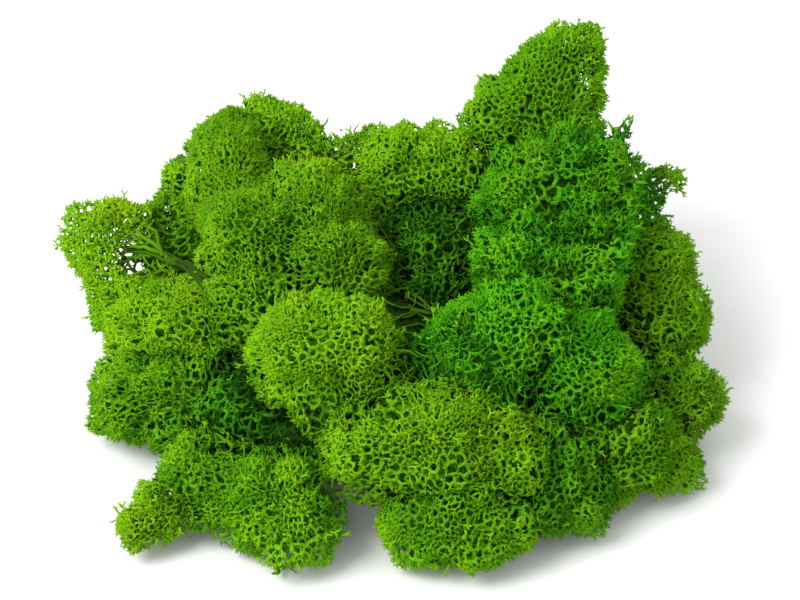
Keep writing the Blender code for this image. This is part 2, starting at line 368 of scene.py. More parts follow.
def depth_colour_group() -> bpy.types.NodeTree:
    """Colour by depth: bright tips, green branches, painted shade deeper in, a matted heart in
    painted hollow shade, and warm patches of dye.

    Returns:
        The group, built once.
    """
    name = "moss_depth_colour"
    if name in bpy.data.node_groups:
        return bpy.data.node_groups[name]
    colours = tuple((socket, "NodeSocketColor") for socket in
                    ("Tip", "Body", "Shade", "HollowShade", "Warmth"))
    group = new_group(name, colours, (("Colour", "NodeSocketColor"),))
    nodes, links = group.nodes, group.links
    given = nodes["in"].outputs
    depth = attribute(group, "depth_and_shade_mm")
    tinted = mix_colours(group, attribute(group, "tint"), given["Tip"], given["Body"])
    near = mix_colours(group, share_between(group, depth, *TIP_TO_BODY), tinted, given["Body"])
    # Partly the older branches' own darker green and partly painted shade: deeper parts turn to the
    # shade colour
    far = mix_colours(group, share_between(group, depth, *BODY_TO_SHADE), near, given["Shade"])
    place = nodes.new("ShaderNodeTexCoord")
    mat = nodes.new("ShaderNodeTexVoronoi")
    mat.feature = "DISTANCE_TO_EDGE"
    mat.inputs["Scale"].default_value = MAT_SCALE
    links.new(place.outputs["Object"], mat.inputs["Vector"])
    strand = share_between(group, mat.outputs["Distance"], *MAT_STRAND)
    deep_strand = nodes.new("ShaderNodeMath")
    deep_strand.operation = "MULTIPLY"
    links.new(strand, deep_strand.inputs[0])
    links.new(share_between(group, depth, *MATTED_FROM), deep_strand.inputs[1])
    # Painted shade: the deepest parts, the core above all, turn to the darker hollow shade
    hollow_shade = mix_colours(group, share_between(group, depth, *SHADE_TO_HOLLOW_SHADE), far,
                         given["HollowShade"])
    matted = mix_colours(group, deep_strand.outputs[0], hollow_shade, given["Shade"])
    warm = mix_colours(group, attribute(group, "warmth"), matted, given["Warmth"], "MULTIPLY")
    links.new(warm, nodes["out"].inputs["Colour"])
    return group


def dry_grain_group() -> bpy.types.NodeTree:
    """Fine dry grain of the branches, as roughness and as height.

    Returns:
        The group, built once.
    """
    name = "moss_dry_grain"
    if name in bpy.data.node_groups:
        return bpy.data.node_groups[name]
    group = new_group(name, (("Roughness", "NodeSocketFloat"),),
                      (("Roughness", "NodeSocketFloat"), ("Height", "NodeSocketFloat")))
    nodes, links = group.nodes, group.links
    place = nodes.new("ShaderNodeTexCoord")
    grain = nodes.new("ShaderNodeTexNoise")
    grain.inputs["Scale"].default_value = GRAIN_SCALE
    grain.inputs["Detail"].default_value = GRAIN_DETAIL
    links.new(place.outputs["Object"], grain.inputs["Vector"])
    spread = nodes.new("ShaderNodeMapRange")
    spread.inputs["To Min"].default_value = -GRAIN_ROUGHNESS
    spread.inputs["To Max"].default_value = GRAIN_ROUGHNESS
    links.new(grain.outputs["Fac"], spread.inputs["Value"])
    total = nodes.new("ShaderNodeMath")
    total.operation = "ADD"
    links.new(spread.outputs["Result"], total.inputs[0])
    links.new(nodes["in"].outputs["Roughness"], total.inputs[1])
    links.new(total.outputs[0], nodes["out"].inputs["Roughness"])
    links.new(grain.outputs["Fac"], nodes["out"].inputs["Height"])
    return group


@dataclass(frozen=True)
class MossFinish:
    """One dyed finish: its colours from the tips inwards in sRGB, and how it takes the light.

    The warmth is what the red, green and blue are multiplied by where the dye leans to yellow.
    """

    hue: Hue
    tip: tuple[float, float, float]
    body: tuple[float, float, float]
    # The shade colour is partly the older branches' own darker green and partly painted shade
    shade: tuple[float, float, float]
    warmth: tuple[float, float, float]
    roughness: float = 0.75
    specular: float = 0.10
    bump_strength: float = 0.35
    bump_distance: float = 0.0001

    @staticmethod
    def linear(colour: tuple[float, float, float]) -> tuple[float, float, float, float]:
        """Turn an sRGB colour into the linear one that a socket holds.

        Args:
            colour: Red, green and blue in sRGB.

        Returns:
            Red, green and blue in linear light, and full opacity.
        """
        red, green, blue = (value / SRGB_SLOPE if value <= SRGB_KNEE
                            else ((value + SRGB_OFFSET) / (1.0 + SRGB_OFFSET)) ** SRGB_POWER
                            for value in colour)
        return (red, green, blue, 1.0)

    def material(self) -> bpy.types.Material:
        """Build the finish as a material.

        Returns:
            The material, coloured by each branch's depth under the head's surface.
        """
        material = bpy.data.materials.new(self.hue.value)
        material.use_nodes = True
        nodes = material.node_tree.nodes
        links = material.node_tree.links
        shader = nodes["Principled BSDF"]
        shader.inputs["Specular IOR Level"].default_value = self.specular
        colour = nodes.new("ShaderNodeGroup")
        colour.node_tree = depth_colour_group()
        # The hollow colour is painted shade, a darker copy of the shade colour
        hollow_shade = tuple(channel * HOLLOW_SHADE_SHARE for channel in self.shade)
        for name, value in (("Tip", self.tip), ("Body", self.body), ("Shade", self.shade),
                            ("HollowShade", hollow_shade)):
            colour.inputs[name].default_value = self.linear(value)
        colour.inputs["Warmth"].default_value = (*self.warmth, 1.0)
        links.new(colour.outputs["Colour"], shader.inputs["Base Color"])
        grain = nodes.new("ShaderNodeGroup")
        grain.node_tree = dry_grain_group()
        grain.inputs["Roughness"].default_value = self.roughness
        bump = nodes.new("ShaderNodeBump")
        bump.inputs["Strength"].default_value = self.bump_strength
        bump.inputs["Distance"].default_value = self.bump_distance
        links.new(grain.outputs["Height"], bump.inputs["Height"])
        links.new(grain.outputs["Roughness"], shader.inputs["Roughness"])
        links.new(bump.outputs["Normal"], shader.inputs["Normal"])
        return material


class Space:
    """The free space of one head: how far it reaches from its heart in any direction."""

    def __init__(self, lobes: tuple[Lobe, ...], rivals: tuple[Lobe, ...]) -> None:
        """Measure the lobes against the lobes of all other heads.

        Args:
            lobes: The head's own lobes.
            rivals: The lobes of every other head.
        """
        self.centres, self.radii = self.table(lobes)
        self.heart = np.average(self.centres, axis=0, weights=self.radii ** 2)
        reach = np.linalg.norm(self.centres - self.heart, axis=1) + self.radii
        self.span = float(np.max(reach))
        far_centres, far_radii = self.table(rivals)
        away = np.linalg.norm(far_centres - self.heart, axis=1)
        near = away < self.span + far_radii + RIVAL_MARGIN
        self.rival_centres = far_centres[near]
        self.rival_radii = far_radii[near]
        apart = self.centres[:, None, :] - self.rival_centres[None, :, :]
        self.apart = np.linalg.norm(apart, axis=2)
        self.all_centres = np.concatenate((self.centres, self.rival_centres))
        self.all_radii = np.concatenate((self.radii, self.rival_radii))

    @staticmethod
    def table(lobes: tuple[Lobe, ...]) -> tuple[np.ndarray, np.ndarray]:
        """Give the lobes' centres and radii as arrays."""
        rows = np.array([(lobe.x, lobe.y, lobe.z, lobe.radius) for lobe in lobes])
        return rows[:, :3], rows[:, 3]

    @staticmethod
    def power(points: np.ndarray, centres: np.ndarray, radii: np.ndarray) -> np.ndarray:
        """Give each point's squared distance to each lobe, less the lobe's squared radius."""
        squares = np.sum(points ** 2, axis=1)[:, None] + np.sum(centres ** 2, axis=1)[None, :]
        return squares - 2.0 * points @ centres.T - radii ** 2

    def clearance(self, points: np.ndarray) -> np.ndarray:
        """Find how deep points lie on this head's side of the planes shared with others.

        Args:
            points: Points of shape (n, 3).

        Returns:
            Distances in metres, negative beyond the planes.
        """
        own = self.power(points, self.centres, self.radii)
        rival = self.power(points, self.rival_centres, self.rival_radii)
        side = (rival[:, None, :] - own[:, :, None]) / (2.0 * self.apart)
        return side.min(axis=2).max(axis=1)

    def lobe_levels(self, points: np.ndarray) -> np.ndarray:
        """Give each point's distance to every lobe's surface, negative inside the lobe."""
        squares = self.power(points, self.all_centres, np.zeros(len(self.all_radii)))
        return np.sqrt(np.maximum(squares, TINY)) - self.all_radii

    def level(self, points: np.ndarray) -> np.ndarray:
        """Give the distance to the surface that all heads share, blended between the lobes.

        Args:
            points: Points of shape (n, 3).

        Returns:
            Distances in metres, negative inside.
        """
        levels = self.lobe_levels(points)
        least = levels.min(axis=1, keepdims=True)
        shares = np.exp((least - levels) / LOBE_BLEND)
        return (least - LOBE_BLEND * np.log(shares.sum(axis=1, keepdims=True)))[:, 0]

    def normals(self, points: np.ndarray) -> np.ndarray:
        """Give the outward normals of the shared surface.

        Args:
            points: Points of shape (n, 3).

        Returns:
            Unit vectors.
        """
        levels = self.lobe_levels(points)
        shares = np.exp((levels.min(axis=1, keepdims=True) - levels) / LOBE_BLEND)
        away = unit(points[:, None, :] - self.all_centres[None, :, :])
        return unit(np.sum(away * shares[:, :, None], axis=1))

    def survey(self, directions: np.ndarray, depth: float) -> np.ndarray:
        """Find the point at one depth under the surface along each direction.

        Args:
            directions: Unit vectors of shape (n, 3).
            depth: Depth under the shared surface.

        Returns:
            Points of shape (n, 3), held back at the neighbours and at the ground.
        """
        found = [self.march(directions[start:start + MARCH_BATCH], depth)
                 for start in range(0, len(directions), MARCH_BATCH)]
        return np.concatenate(found)

    def march(self, directions: np.ndarray, depth: float) -> np.ndarray:
        """Step outwards along a batch of directions to the last place with room.

        Args:
            directions: Unit vectors of shape (n, 3).
            depth: Depth under the shared surface.

        Returns:
            Points of shape (n, 3).
        """
        steps = np.arange(MARCH_STEP, self.span + SPARE_STEPS * MARCH_STEP, MARCH_STEP)
        points = (self.heart + directions[:, None, :] * steps[None, :, None]).reshape(-1, 3)
        shape = (len(directions), len(steps))
        beside = (self.clearance(points) - SEAM_GAP).reshape(shape)
        room = np.minimum(-self.level(points) - depth, points[:, 2] - GROUND_CLEARANCE)
        room = np.minimum(room.reshape(shape), beside)
        stopped = np.cumsum(beside < 0.0, axis=1) > 0
        inside = (room >= 0.0) & ~stopped
        numbers = np.where(inside, np.arange(len(steps))[None, :], 0).max(axis=1)
        after = np.minimum(numbers + 1, len(steps) - 1)
        rows = np.arange(len(directions))
        drop = room[rows, numbers] - room[rows, after]
        share = np.clip(room[rows, numbers] / np.maximum(drop, TINY), 0.0, 1.0)
        reach = steps[numbers] + share * MARCH_STEP
        return self.heart + directions * reach[:, None]

    def buried(self, points: np.ndarray, normals: np.ndarray) -> np.ndarray:
        """Tell which points face into a neighbour or into the ground.

        Args:
            points: Points of shape (n, 3).
            normals: The surface's outward normals there.

        Returns:
            A flag for each point.
        """
        ahead = points + normals * BURIED_REACH
        inside = self.power(ahead, self.rival_centres, self.rival_radii) < 0.0
        return inside.any(axis=1) | (ahead[:, 2] < 0.0)


@dataclass
class Layer:
    """One layer of pores, joints or forks at one depth under the surface, in metres."""

    points: np.ndarray
    normals: np.ndarray
    depth: float
    spacing: float

    def tree(self) -> kdtree.KDTree:
        """Index the layer's points for nearest-neighbour searches.

        Returns:
            The index.
        """
        index = kdtree.KDTree(len(self.points))
        for number, point in enumerate(self.points):
            index.insert(point, number)
        index.balance()
        return index

    def nearest(self, points: np.ndarray) -> tuple[np.ndarray, np.ndarray]:
        """Find the layer's nearest point to each of some places.

        Args:
            points: Places of shape (n, 3).

        Returns:
            Numbers of the layer's points, and their distances.
        """
        index = self.tree()
        found = [index.find(point) for point in points]
        return (np.array([number for _, number, _ in found], dtype=int),
                np.array([gap for _, _, gap in found]))


@dataclass
class Net:
    """A net around the pores of one layer.

    Each row of limbs holds the two joints that a limb joins, each row of sides the two pores that
    it parts, and each row of pores the three that a joint touches.
    """

    joints: Layer
    limbs: np.ndarray
    sides: np.ndarray
    pores: np.ndarray


class StrandMesh:
    """Collects webs, branches and tips, and turns them into one mesh."""

    def __init__(self, draw: np.random.Generator) -> None:
        """Start empty.

        Args:
            draw: Source of random numbers for the way each branch is turned.
        """
        self.draw = draw
        self.corners: list[np.ndarray] = []
        self.faces: list[np.ndarray] = []
        self.values: dict[str, list[np.ndarray]] = {"depth_and_shade_mm": [], "tint": [], "warmth": []}
        self.count = 0

    def add_mesh(self, corners: np.ndarray, faces: np.ndarray, depth: np.ndarray,
                 tint: np.ndarray) -> None:
        """Add ready triangles.

        Args:
            corners: Points of shape (n, 3).
            faces: Triangles that count from the first of these points.
            depth: Depth under the head's surface at each point, in millimetres.
            tint: Share of the body colour at each point.
        """
        self.corners.append(corners)
        self.faces.append(faces + self.count)
        self.values["depth_and_shade_mm"].append(depth)
        self.values["tint"].append(tint)
        self.count += len(corners)

    def add_strands(self, paths: np.ndarray, radii: np.ndarray, depths: np.ndarray,
                    tints: np.ndarray, sides: int = 3, pointed: bool = False) -> None:
        """Add one tube along each path.

        Args:
            paths: Points of shape (strands, steps, 3).
            radii: Radius at each point, of shape (strands, steps).
            depths: Depth in millimetres at each point, of shape (strands, steps).
            tints: Share of the body colour of each strand.
            sides: Corners of the tube's section.
            pointed: Whether the last point closes the tube as a tip.
        """
        if not len(paths):
            return
        strands, steps, _ = paths.shape
        paths = paths.copy()
        paths[:, :, 2] = np.maximum(paths[:, :, 2], GROUND_CLEARANCE)
        heading = np.empty_like(paths)
        heading[:, 1:-1] = paths[:, 2:] - paths[:, :-2]
        heading[:, 0] = paths[:, 1] - paths[:, 0]
        heading[:, -1] = paths[:, -1] - paths[:, -2]
        heading = unit(heading)
        whole = unit(paths[:, -1] - paths[:, 0])
        guide = across(whole, self.draw)[:, None, :]
        side = unit(guide - heading * np.sum(guide * heading, axis=2, keepdims=True))
        other = np.cross(heading, side)
        rings = steps - 1 if pointed else steps
        angle = np.arange(sides) * 2.0 * math.pi / sides
        turned = (side[:, :rings, None, :] * np.cos(angle)[None, None, :, None]
                  + other[:, :rings, None, :] * np.sin(angle)[None, None, :, None])
        corners = paths[:, :rings, None, :] + turned * radii[:, :rings, None, None]
        corners = corners.reshape(strands, rings * sides, 3)
        depth = np.repeat(depths[:, :rings], sides, axis=1)
        if pointed:
            corners = np.concatenate((corners, paths[:, -1:, :]), axis=1)
            depth = np.concatenate((depth, depths[:, -1:]), axis=1)
        pattern = self.tube_faces(rings, sides, pointed)
        each = corners.shape[1]
        faces = pattern[None] + (np.arange(strands) * each)[:, None, None]
        self.add_mesh(corners.reshape(-1, 3), faces.reshape(-1, 3), depth.ravel(),
                      np.repeat(tints, each))

    @staticmethod
    def tube_faces(rings: int, sides: int, pointed: bool) -> np.ndarray:
        """List the triangles of one tube.

        Args:
            rings: Number of rings of corners.
            sides: Corners in a ring.
            pointed: Whether an apex follows the last ring.

        Returns:
            Triangles of shape (n, 3).
        """
        faces = []
        for ring in range(rings - 1):
            for corner in range(sides):
                here = ring * sides + corner
                beside = ring * sides + (corner + 1) % sides
                faces.append((here, beside, beside + sides))
                faces.append((here, beside + sides, here + sides))
        if pointed:
            last = (rings - 1) * sides
            for corner in range(sides):
                faces.append((last + corner, last + (corner + 1) % sides, last + sides))
        return np.array(faces)

    def paint_seam_shade(self, space: Space, recess_shade: float) -> None:
        """Paint shade into the colour towards the neighbouring heads, by adding to its depth there.

        Args:
            space: The head's free space.
            recess_shade: Painted shade, as millimetres of depth added over the whole head where it
                lies back among the others.
        """
        points = np.concatenate(self.corners)
        nearness = np.clip(1.0 - space.clearance(points) / SEAM_SHADE, 0.0, 1.0) ** 2
        # Painted shade: the colour darkens near the seams and over heads set back among the others
        depth = np.concatenate(self.values["depth_and_shade_mm"]) + nearness * SEAM_PAINTED_SHADE + recess_shade
        self.values["depth_and_shade_mm"] = [depth]

    def set_warmth(self, base: float, blushes: tuple[Lobe, ...]) -> None:
        """Give every point its share of the warm dye, in patches that cross the heads.

        Args:
            base: The head's own share.
            blushes: Round places that took up more of the warm dye.
        """
        points = np.concatenate(self.corners)
        loose = np.concatenate([np.full(len(part), self.draw.uniform(*PART_WARMTH))
                                for part in self.corners])
        warmth = base + DYE_SWELL.at(points) * PATCH_WARMTH + loose
        for blush in blushes:
            away = np.linalg.norm(points - (blush.x, blush.y, blush.z), axis=1)
            warmth = warmth + np.clip(BLUSH_FULLNESS - away / blush.radius, 0.0, 1.0)
        self.values["warmth"] = [np.clip(warmth, 0.0, 1.0)]

    def build(self, name: str) -> bpy.types.Object:
        """Make the object.

        Args:
            name: The object's name.

        Returns:
            The object, linked to the scene, shaded smooth.
        """
        corners = np.concatenate(self.corners).astype(np.float32)
        corners[:, 2] = np.maximum(corners[:, 2], 0.0)
        faces = np.concatenate(self.faces).astype(np.int32)
        mesh = bpy.data.meshes.new(name)
        mesh.vertices.add(len(corners))
        mesh.vertices.foreach_set("co", corners.ravel())
        mesh.loops.add(faces.size)
        mesh.loops.foreach_set("vertex_index", faces.ravel())
        mesh.polygons.add(len(faces))
        starts = np.arange(0, faces.size, faces.shape[1], dtype=np.int32)
        mesh.polygons.foreach_set("loop_start", starts)
        mesh.polygons.foreach_set("use_smooth", np.ones(len(faces), dtype=bool))
        for label, parts in self.values.items():
            layer = mesh.attributes.new(label, "FLOAT", "POINT")
            layer.data.foreach_set("value", np.concatenate(parts).astype(np.float32))
        mesh.update(calc_edges=True)
        piece = bpy.data.objects.new(name, mesh)
        bpy.context.scene.collection.objects.link(piece)
        return piece


@dataclass(frozen=True)
class Habit:
    """How a head's pores, limbs and tips are formed, in metres or as shares of a size."""

    pore: float = 0.0019
    hole: float = 0.76
    hole_fall: float = 0.00050
    web_share: float = 0.80
    limb_radius: float = 0.00026
    arm_share: float = 0.40
    arm_reach: float = 0.60
    arm_rise: float = 0.00095
    tips: int = 3
    tip_share: float = 0.80
    tip_length: float = 0.00095
    tip_spread: float = 0.95
    lump_depth: float = 0.0019
    lump_spacing: float = 0.0060
    swell: float = 0.0014
    roughness: float = 0.00040
    buried_share: float = 0.15
    sprig_share: float = 0.022
    sprig_rise: float = 0.0014
    core_depth: float = 0.0056
    has_core: bool = True


NET = Habit()
OPEN_NET = Habit(pore=0.0021, hole=0.80, limb_radius=0.00028, tip_length=0.00105,
                 lump_depth=0.0022, lump_spacing=0.0062, core_depth=0.0064, sprig_share=0.04)
CUSHION = Habit(pore=0.0018, hole=0.73, limb_radius=0.00025, tip_length=0.00090,
                lump_depth=0.0016, lump_spacing=0.0056)
VELVET = Habit(pore=0.0017, hole=0.66, limb_radius=0.00024, tip_share=0.90,
               tip_length=0.00080, tip_spread=0.70, lump_depth=0.0014, lump_spacing=0.0052)
LOOSE = Habit(pore=0.0025, hole=0.80, limb_radius=0.00030, tip_length=0.0010, tip_share=0.7,
              web_share=0.86, lump_depth=0.0020, lump_spacing=0.0066, core_depth=0.0066)
LACE = Habit(pore=0.0018, hole=0.74, limb_radius=0.00024, has_core=False, lump_depth=0.0006,
             lump_spacing=0.0038)
BED = Habit(core_depth=0.0021)


@dataclass
class MossHead:
    """One head of the clump, grown inside its lobes."""

    name: str
    hue: Hue
    habit: Habit
    warmth: float
    lobes: tuple[Lobe, ...]
    outer_depth: float = 0.0010
    net_depth: float = 0.0024
    fork_depth: float = 0.0046
    net_ratio: float = 1.35
    net_radius: float = 0.00030
    fork_radius: float = 0.00052
    stem_ratio: float = 1.7
    shoot_ratio: float = 1.2
    branch_back: float = 0.8
    limb_length: float = 0.004
    limb_sink: float = 0.003
    limb_swell: float = 1.4
    twig_lift: float = 0.0002
    twig_ratio: float = 1.15
    twig_lean: tuple[float, float] = (0.3, 1.0)
    twig_length: tuple[float, float] = (0.0014, 0.0030)
    twig_root: float = 0.3
    # Painted shade, in millimetres of depth, for a head that lies back in a hollow of the clump
    recess_shade_depth: float = 0.0
    draw: np.random.Generator = field(init=False)
    space: Space = field(init=False)

    def settle(self, number: int, rivals: tuple[Lobe, ...]) -> None:
        """Find the head's free space among all others.

        Args:
            number: The head's place in the list, for its own random draws.
            rivals: The lobes of every other head.
        """
        self.draw = np.random.default_rng(FIRST_HEAD_SEED + number)
        self.space = Space(self.lobes, rivals)

    def build(self) -> bpy.types.Object:
        """Grow the head from its outer net inwards.

        Returns:
            The head as one object.
        """
        habit = self.habit
        strands = StrandMesh(self.draw)
        outer = self.weave(self.layer(self.outer_depth, habit.pore))
        inner = self.weave(self.layer(self.net_depth, habit.pore * self.net_ratio))
        forks = self.layer(self.fork_depth, habit.lump_spacing)
        sunk = self.lump(outer.joints, forks)
        deep = self.lump(inner.joints, forks) + self.net_depth - self.outer_depth
        self.add_web(strands, outer, sunk)
        self.add_web(strands, inner, deep)
        self.add_arms(strands, outer, sunk)
        self.add_crown(strands, outer.joints, sunk)
        self.add_sprigs(strands, outer.joints)
        stems = self.carried(outer.joints, habit.pore * self.stem_ratio)
        shoots = self.carried(inner.joints, habit.pore * self.net_ratio * self.shoot_ratio)
        self.add_branches(strands, stems, inner.joints, habit.limb_radius, self.net_radius)
        self.add_branches(strands, shoots, forks, self.net_radius, self.fork_radius)
        self.add_limbs(strands, forks)
        if habit.has_core:
            self.add_core(strands)
            self.add_undergrowth(strands)
        strands.paint_seam_shade(self.space, self.recess_shade_depth)
        strands.set_warmth(self.warmth, BLUSHES)
        return strands.build(f"{self.name}_crown")

    def carried(self, joints: Layer, spacing: float) -> Layer:
        """Pick the joints that a branch carries.

        Args:
            joints: All joints of a net.
            spacing: Distance between the branches.

        Returns:
            The picked joints.
        """
        kept = self.thin(joints.points, spacing)
        return Layer(joints.points[kept], joints.normals[kept], joints.depth, spacing)

    def dress(self, piece: bpy.types.Object, material: bpy.types.Material) -> None:
        """Give the head its finish and tie it to its solid.

        Args:
            piece: The grown head.
            material: The finish.
        """
        piece.data.materials.append(material)
        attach(piece, BODY)
        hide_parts(self.name)

    def layer(self, depth: float, spacing: float) -> Layer:
        """Scatter pores or forks about one spacing apart at one depth under the surface.

        Args:
            depth: Depth under the lobes' surface.
            spacing: Distance between neighbours.

        Returns:
            The layer.
        """
        area = 4.0 * math.pi * float(np.mean(self.space.radii + self.space.span) / 2.0) ** 2
        tries = int(DIRECTION_SUPPLY * area / spacing ** 2)
        directions = even_directions(tries)
        loose = (self.draw.normal(size=directions.shape) * DIRECTION_LOOSENESS
                 * math.sqrt(4.0 * math.pi / tries))
        directions = unit(directions + loose)
        directions = directions[self.grows(directions)]
        points = self.space.survey(directions, depth)
        points = points[self.space.level(points) > -depth - SEAM_REACH]
        points = points[self.draw.permutation(len(points))]
        points = points[self.thin(points, spacing)]
        normals = self.space.normals(points)
        drawn = self.draw.uniform(size=len(points)) < self.habit.buried_share
        keep = ~self.space.buried(points, normals) | drawn
        points, normals = points[keep], normals[keep]
        points = points + normals * (FORM_SWELL.at(points) * self.habit.swell)[:, None]
        return Layer(points, normals, depth, spacing)

    def grows(self, directions: np.ndarray) -> np.ndarray:
        """Tell along which directions the head bears a crown: all of them on most heads."""
        return np.ones(len(directions), dtype=bool)

    def thin(self, points: np.ndarray, spacing: float) -> np.ndarray:
        """Drop points until none is nearer to another than the spacing allows.

        Beside the neighbouring heads and close to the ground the spacing is wider.

        Args:
            points: Points of shape (n, 3), in order of preference.
            spacing: Wanted distance between neighbours.

        Returns:
            Indices of the points that stay.
        """
        beside = np.clip(1.0 - self.space.clearance(points) / SEAM_SHADE, 0.0, 1.0)
        swell = np.clip(1.0 + SPACING_WAVE * SPACING_SWELL.at(points), *SPACING_LIMITS)
        low = np.clip(LOW_ONSET - points[:, 2] / UNDERSIDE, 0.0, 1.0)
        least = spacing * TIGHTNESS * swell * (1.0 + SEAM_WIDENING * beside + LOW_WIDENING * low)
        least = least * self.draw.uniform(*SPACING_SPREAD, len(points))
        cells = np.floor(points / (float(least.max()) + TINY)).astype(int).tolist()
        rows = points.tolist()
        gaps = least.tolist()
        taken: dict[tuple[int, int, int], list[int]] = {}
        around = tuple(product((-1, 0, 1), repeat=3))
        stays = []
        for number, (cell, row) in enumerate(zip(cells, rows)):
            others = (other for x, y, z in around
                      for other in taken.get((cell[0] + x, cell[1] + y, cell[2] + z), ()))
            if all(math.dist(row, rows[other]) >= gaps[number] for other in others):
                taken.setdefault(tuple(cell), []).append(number)
                stays.append(number)
        return np.array(stays, dtype=int)

    def weave(self, pores: Layer) -> Net:
        """Find the net whose meshes are the given pores.

        Args:
            pores: The middles of the pores.

        Returns:
            The net: each joint touches three pores, and each limb parts two.
        """
        form = bmesh.new()
        for direction in unit(pores.points - self.space.heart):
            form.verts.new(direction)
        bmesh.ops.convex_hull(form, input=form.verts)
        form.verts.ensure_lookup_table()
        for vertex, point in zip(form.verts, pores.points):
            vertex.co = point
        bmesh.ops.beautify_fill(form, faces=form.faces, edges=form.edges)
        widest = pores.spacing * WIDEST_FACE
        torn = [face for face in form.faces
                if max(edge.calc_length() for edge in face.edges) > widest]
        bmesh.ops.delete(form, geom=torn, context="FACES_ONLY")
        form.faces.index_update()
        meshes = np.array([[vertex.index for vertex in face.verts] for face in form.faces])
        inner = [edge for edge in form.edges if len(edge.link_faces) == 2]
        limbs = np.array([[face.index for face in edge.link_faces] for edge in inner])
        sides = np.array([[vertex.index for vertex in edge.verts] for edge in inner])
        form.free()
        normals = unit(pores.normals[meshes].sum(axis=1))
        points = pores.points[meshes].mean(axis=1)
        loose = self.draw.normal(0.0, self.habit.roughness, (len(points), 1))
        aside = across(normals, self.draw) * self.draw.uniform(*JOINT_SHIFT, (len(points), 1))
        points = points + normals * loose + aside * pores.spacing
        joints = Layer(points, normals, pores.depth, pores.spacing)
        return Net(joints, limbs, sides, meshes)

    def lump(self, joints: Layer, crowns: Layer) -> np.ndarray:
        """Sink the joints that lie between the crowns of the thicker branches.

        Args:
            joints: The joints of the outer net, moved in place.
            crowns: The forks whose crowns stand out.

        Returns:
            How deep each joint was sunk.
        """
        _, apart = crowns.nearest(joints.points)
        level = crowns.depth - joints.depth
        apart = np.sqrt(np.maximum(apart ** 2 - level ** 2 * LUMP_LEVEL_SHARE, 0.0))
        share = np.clip(apart / (crowns.spacing * LUMP_REACH), 0.0, LUMP_LIMIT)
        sink = self.habit.lump_depth * share ** 2
        joints.points = joints.points - joints.normals * sink[:, None]
        return sink

    def tints(self, count: int) -> np.ndarray:
        """Draw how far each strand leans from the tip colour to the body colour."""
        return self.draw.beta(*TINT_SHAPE, count)

    def add_web(self, strands: StrandMesh, net: Net, sunk: np.ndarray) -> None:
        """Stretch a web between the limbs of a net, with a round hole in each pore.

        Args:
            strands: The mesh that the web goes into.
            net: The net.
            sunk: How deep each joint was sunk.
        """
        points = net.joints.points
        count = len(points)
        rims = self.web_rims(net)
        corners = np.concatenate((points, rims.reshape(-1, 3)))
        faces = self.web_faces(net, corners)
        depth = np.concatenate((sunk, np.repeat(sunk, 3))) * MILLIMETRES
        depth = depth + np.concatenate((np.full(count, LIMB_DEPTH), np.full(3 * count, RIM_DEPTH)))
        tint = np.concatenate((self.tints(count), np.ones(3 * count)))
        strands.add_mesh(corners, faces, depth, tint)

    def web_rims(self, net: Net) -> np.ndarray:
        """Find where the web at each joint ends, towards each of the pores that it touches.

        Args:
            net: The net.

        Returns:
            Points of shape (joints, 3, 3).
        """
        habit = self.habit
        points, normals = net.joints.points, net.joints.normals
        pores = int(net.pores.max()) + 1
        number = np.maximum(np.bincount(net.pores.ravel(), minlength=pores), 1)
        middles = np.stack([np.bincount(net.pores.ravel(), np.repeat(points[:, axis], 3), pores)
                            for axis in range(3)], axis=1) / number[:, None]
        spokes = points[:, None, :] - middles[net.pores]
        lengths = np.linalg.norm(spokes, axis=2)
        usual = np.bincount(net.pores.ravel(), lengths.ravel(), pores) / number
        hole = usual * habit.hole * self.draw.uniform(*HOLE_SPREAD, pores)
        fall = habit.hole_fall * self.draw.uniform(*FALL_SPREAD, pores)
        share = self.draw.uniform(*RIM_SPREAD, lengths.shape) * habit.hole
        open_to = hole[net.pores] * ROUND_SHARE + lengths * share * OWN_SHARE
        open_to = np.minimum(open_to, lengths * WIDEST_HOLE)
        open_to = np.maximum(open_to, lengths - net.joints.spacing * WIDEST_WEB)
        return (middles[net.pores] + unit(spokes) * open_to[:, :, None]
                - normals[:, None, :] * fall[net.pores][:, :, None])

    def web_faces(self, net: Net, corners: np.ndarray) -> np.ndarray:
        """List the triangles of the webs, two on each side of every limb that bears one.

        Args:
            net: The net.
            corners: The joints, followed by three rim points for each of them.

        Returns:
            Triangles of shape (n, 3), turned outwards.
        """
        points, normals = net.joints.points, net.joints.normals
        count = len(points)
        webs = []
        stretch = np.linalg.norm(points[net.limbs[:, 0]] - points[net.limbs[:, 1]], axis=1)
        whole = stretch < net.joints.spacing * WIDEST_LIMB
        whole &= self.draw.uniform(size=len(net.limbs)) < self.habit.web_share
        first, second = net.limbs[whole].T
        for side in (0, 1):
            pore = net.sides[whole, side][:, None]
            first_rim = count + 3 * first + (net.pores[first] == pore).argmax(axis=1)
            second_rim = count + 3 * second + (net.pores[second] == pore).argmax(axis=1)
            webs.append(np.stack((first, second, second_rim, first_rim), axis=1))
        web = np.concatenate(webs)
        facing = np.cross(corners[web[:, 1]] - corners[web[:, 0]],
                          corners[web[:, 2]] - corners[web[:, 0]])
        turned = np.sum(facing * normals[web[:, 0]], axis=1) < 0.0
        web[turned] = web[turned][:, ::-1]
        return np.concatenate((web[:, [0, 1, 2]], web[:, [0, 2, 3]]))

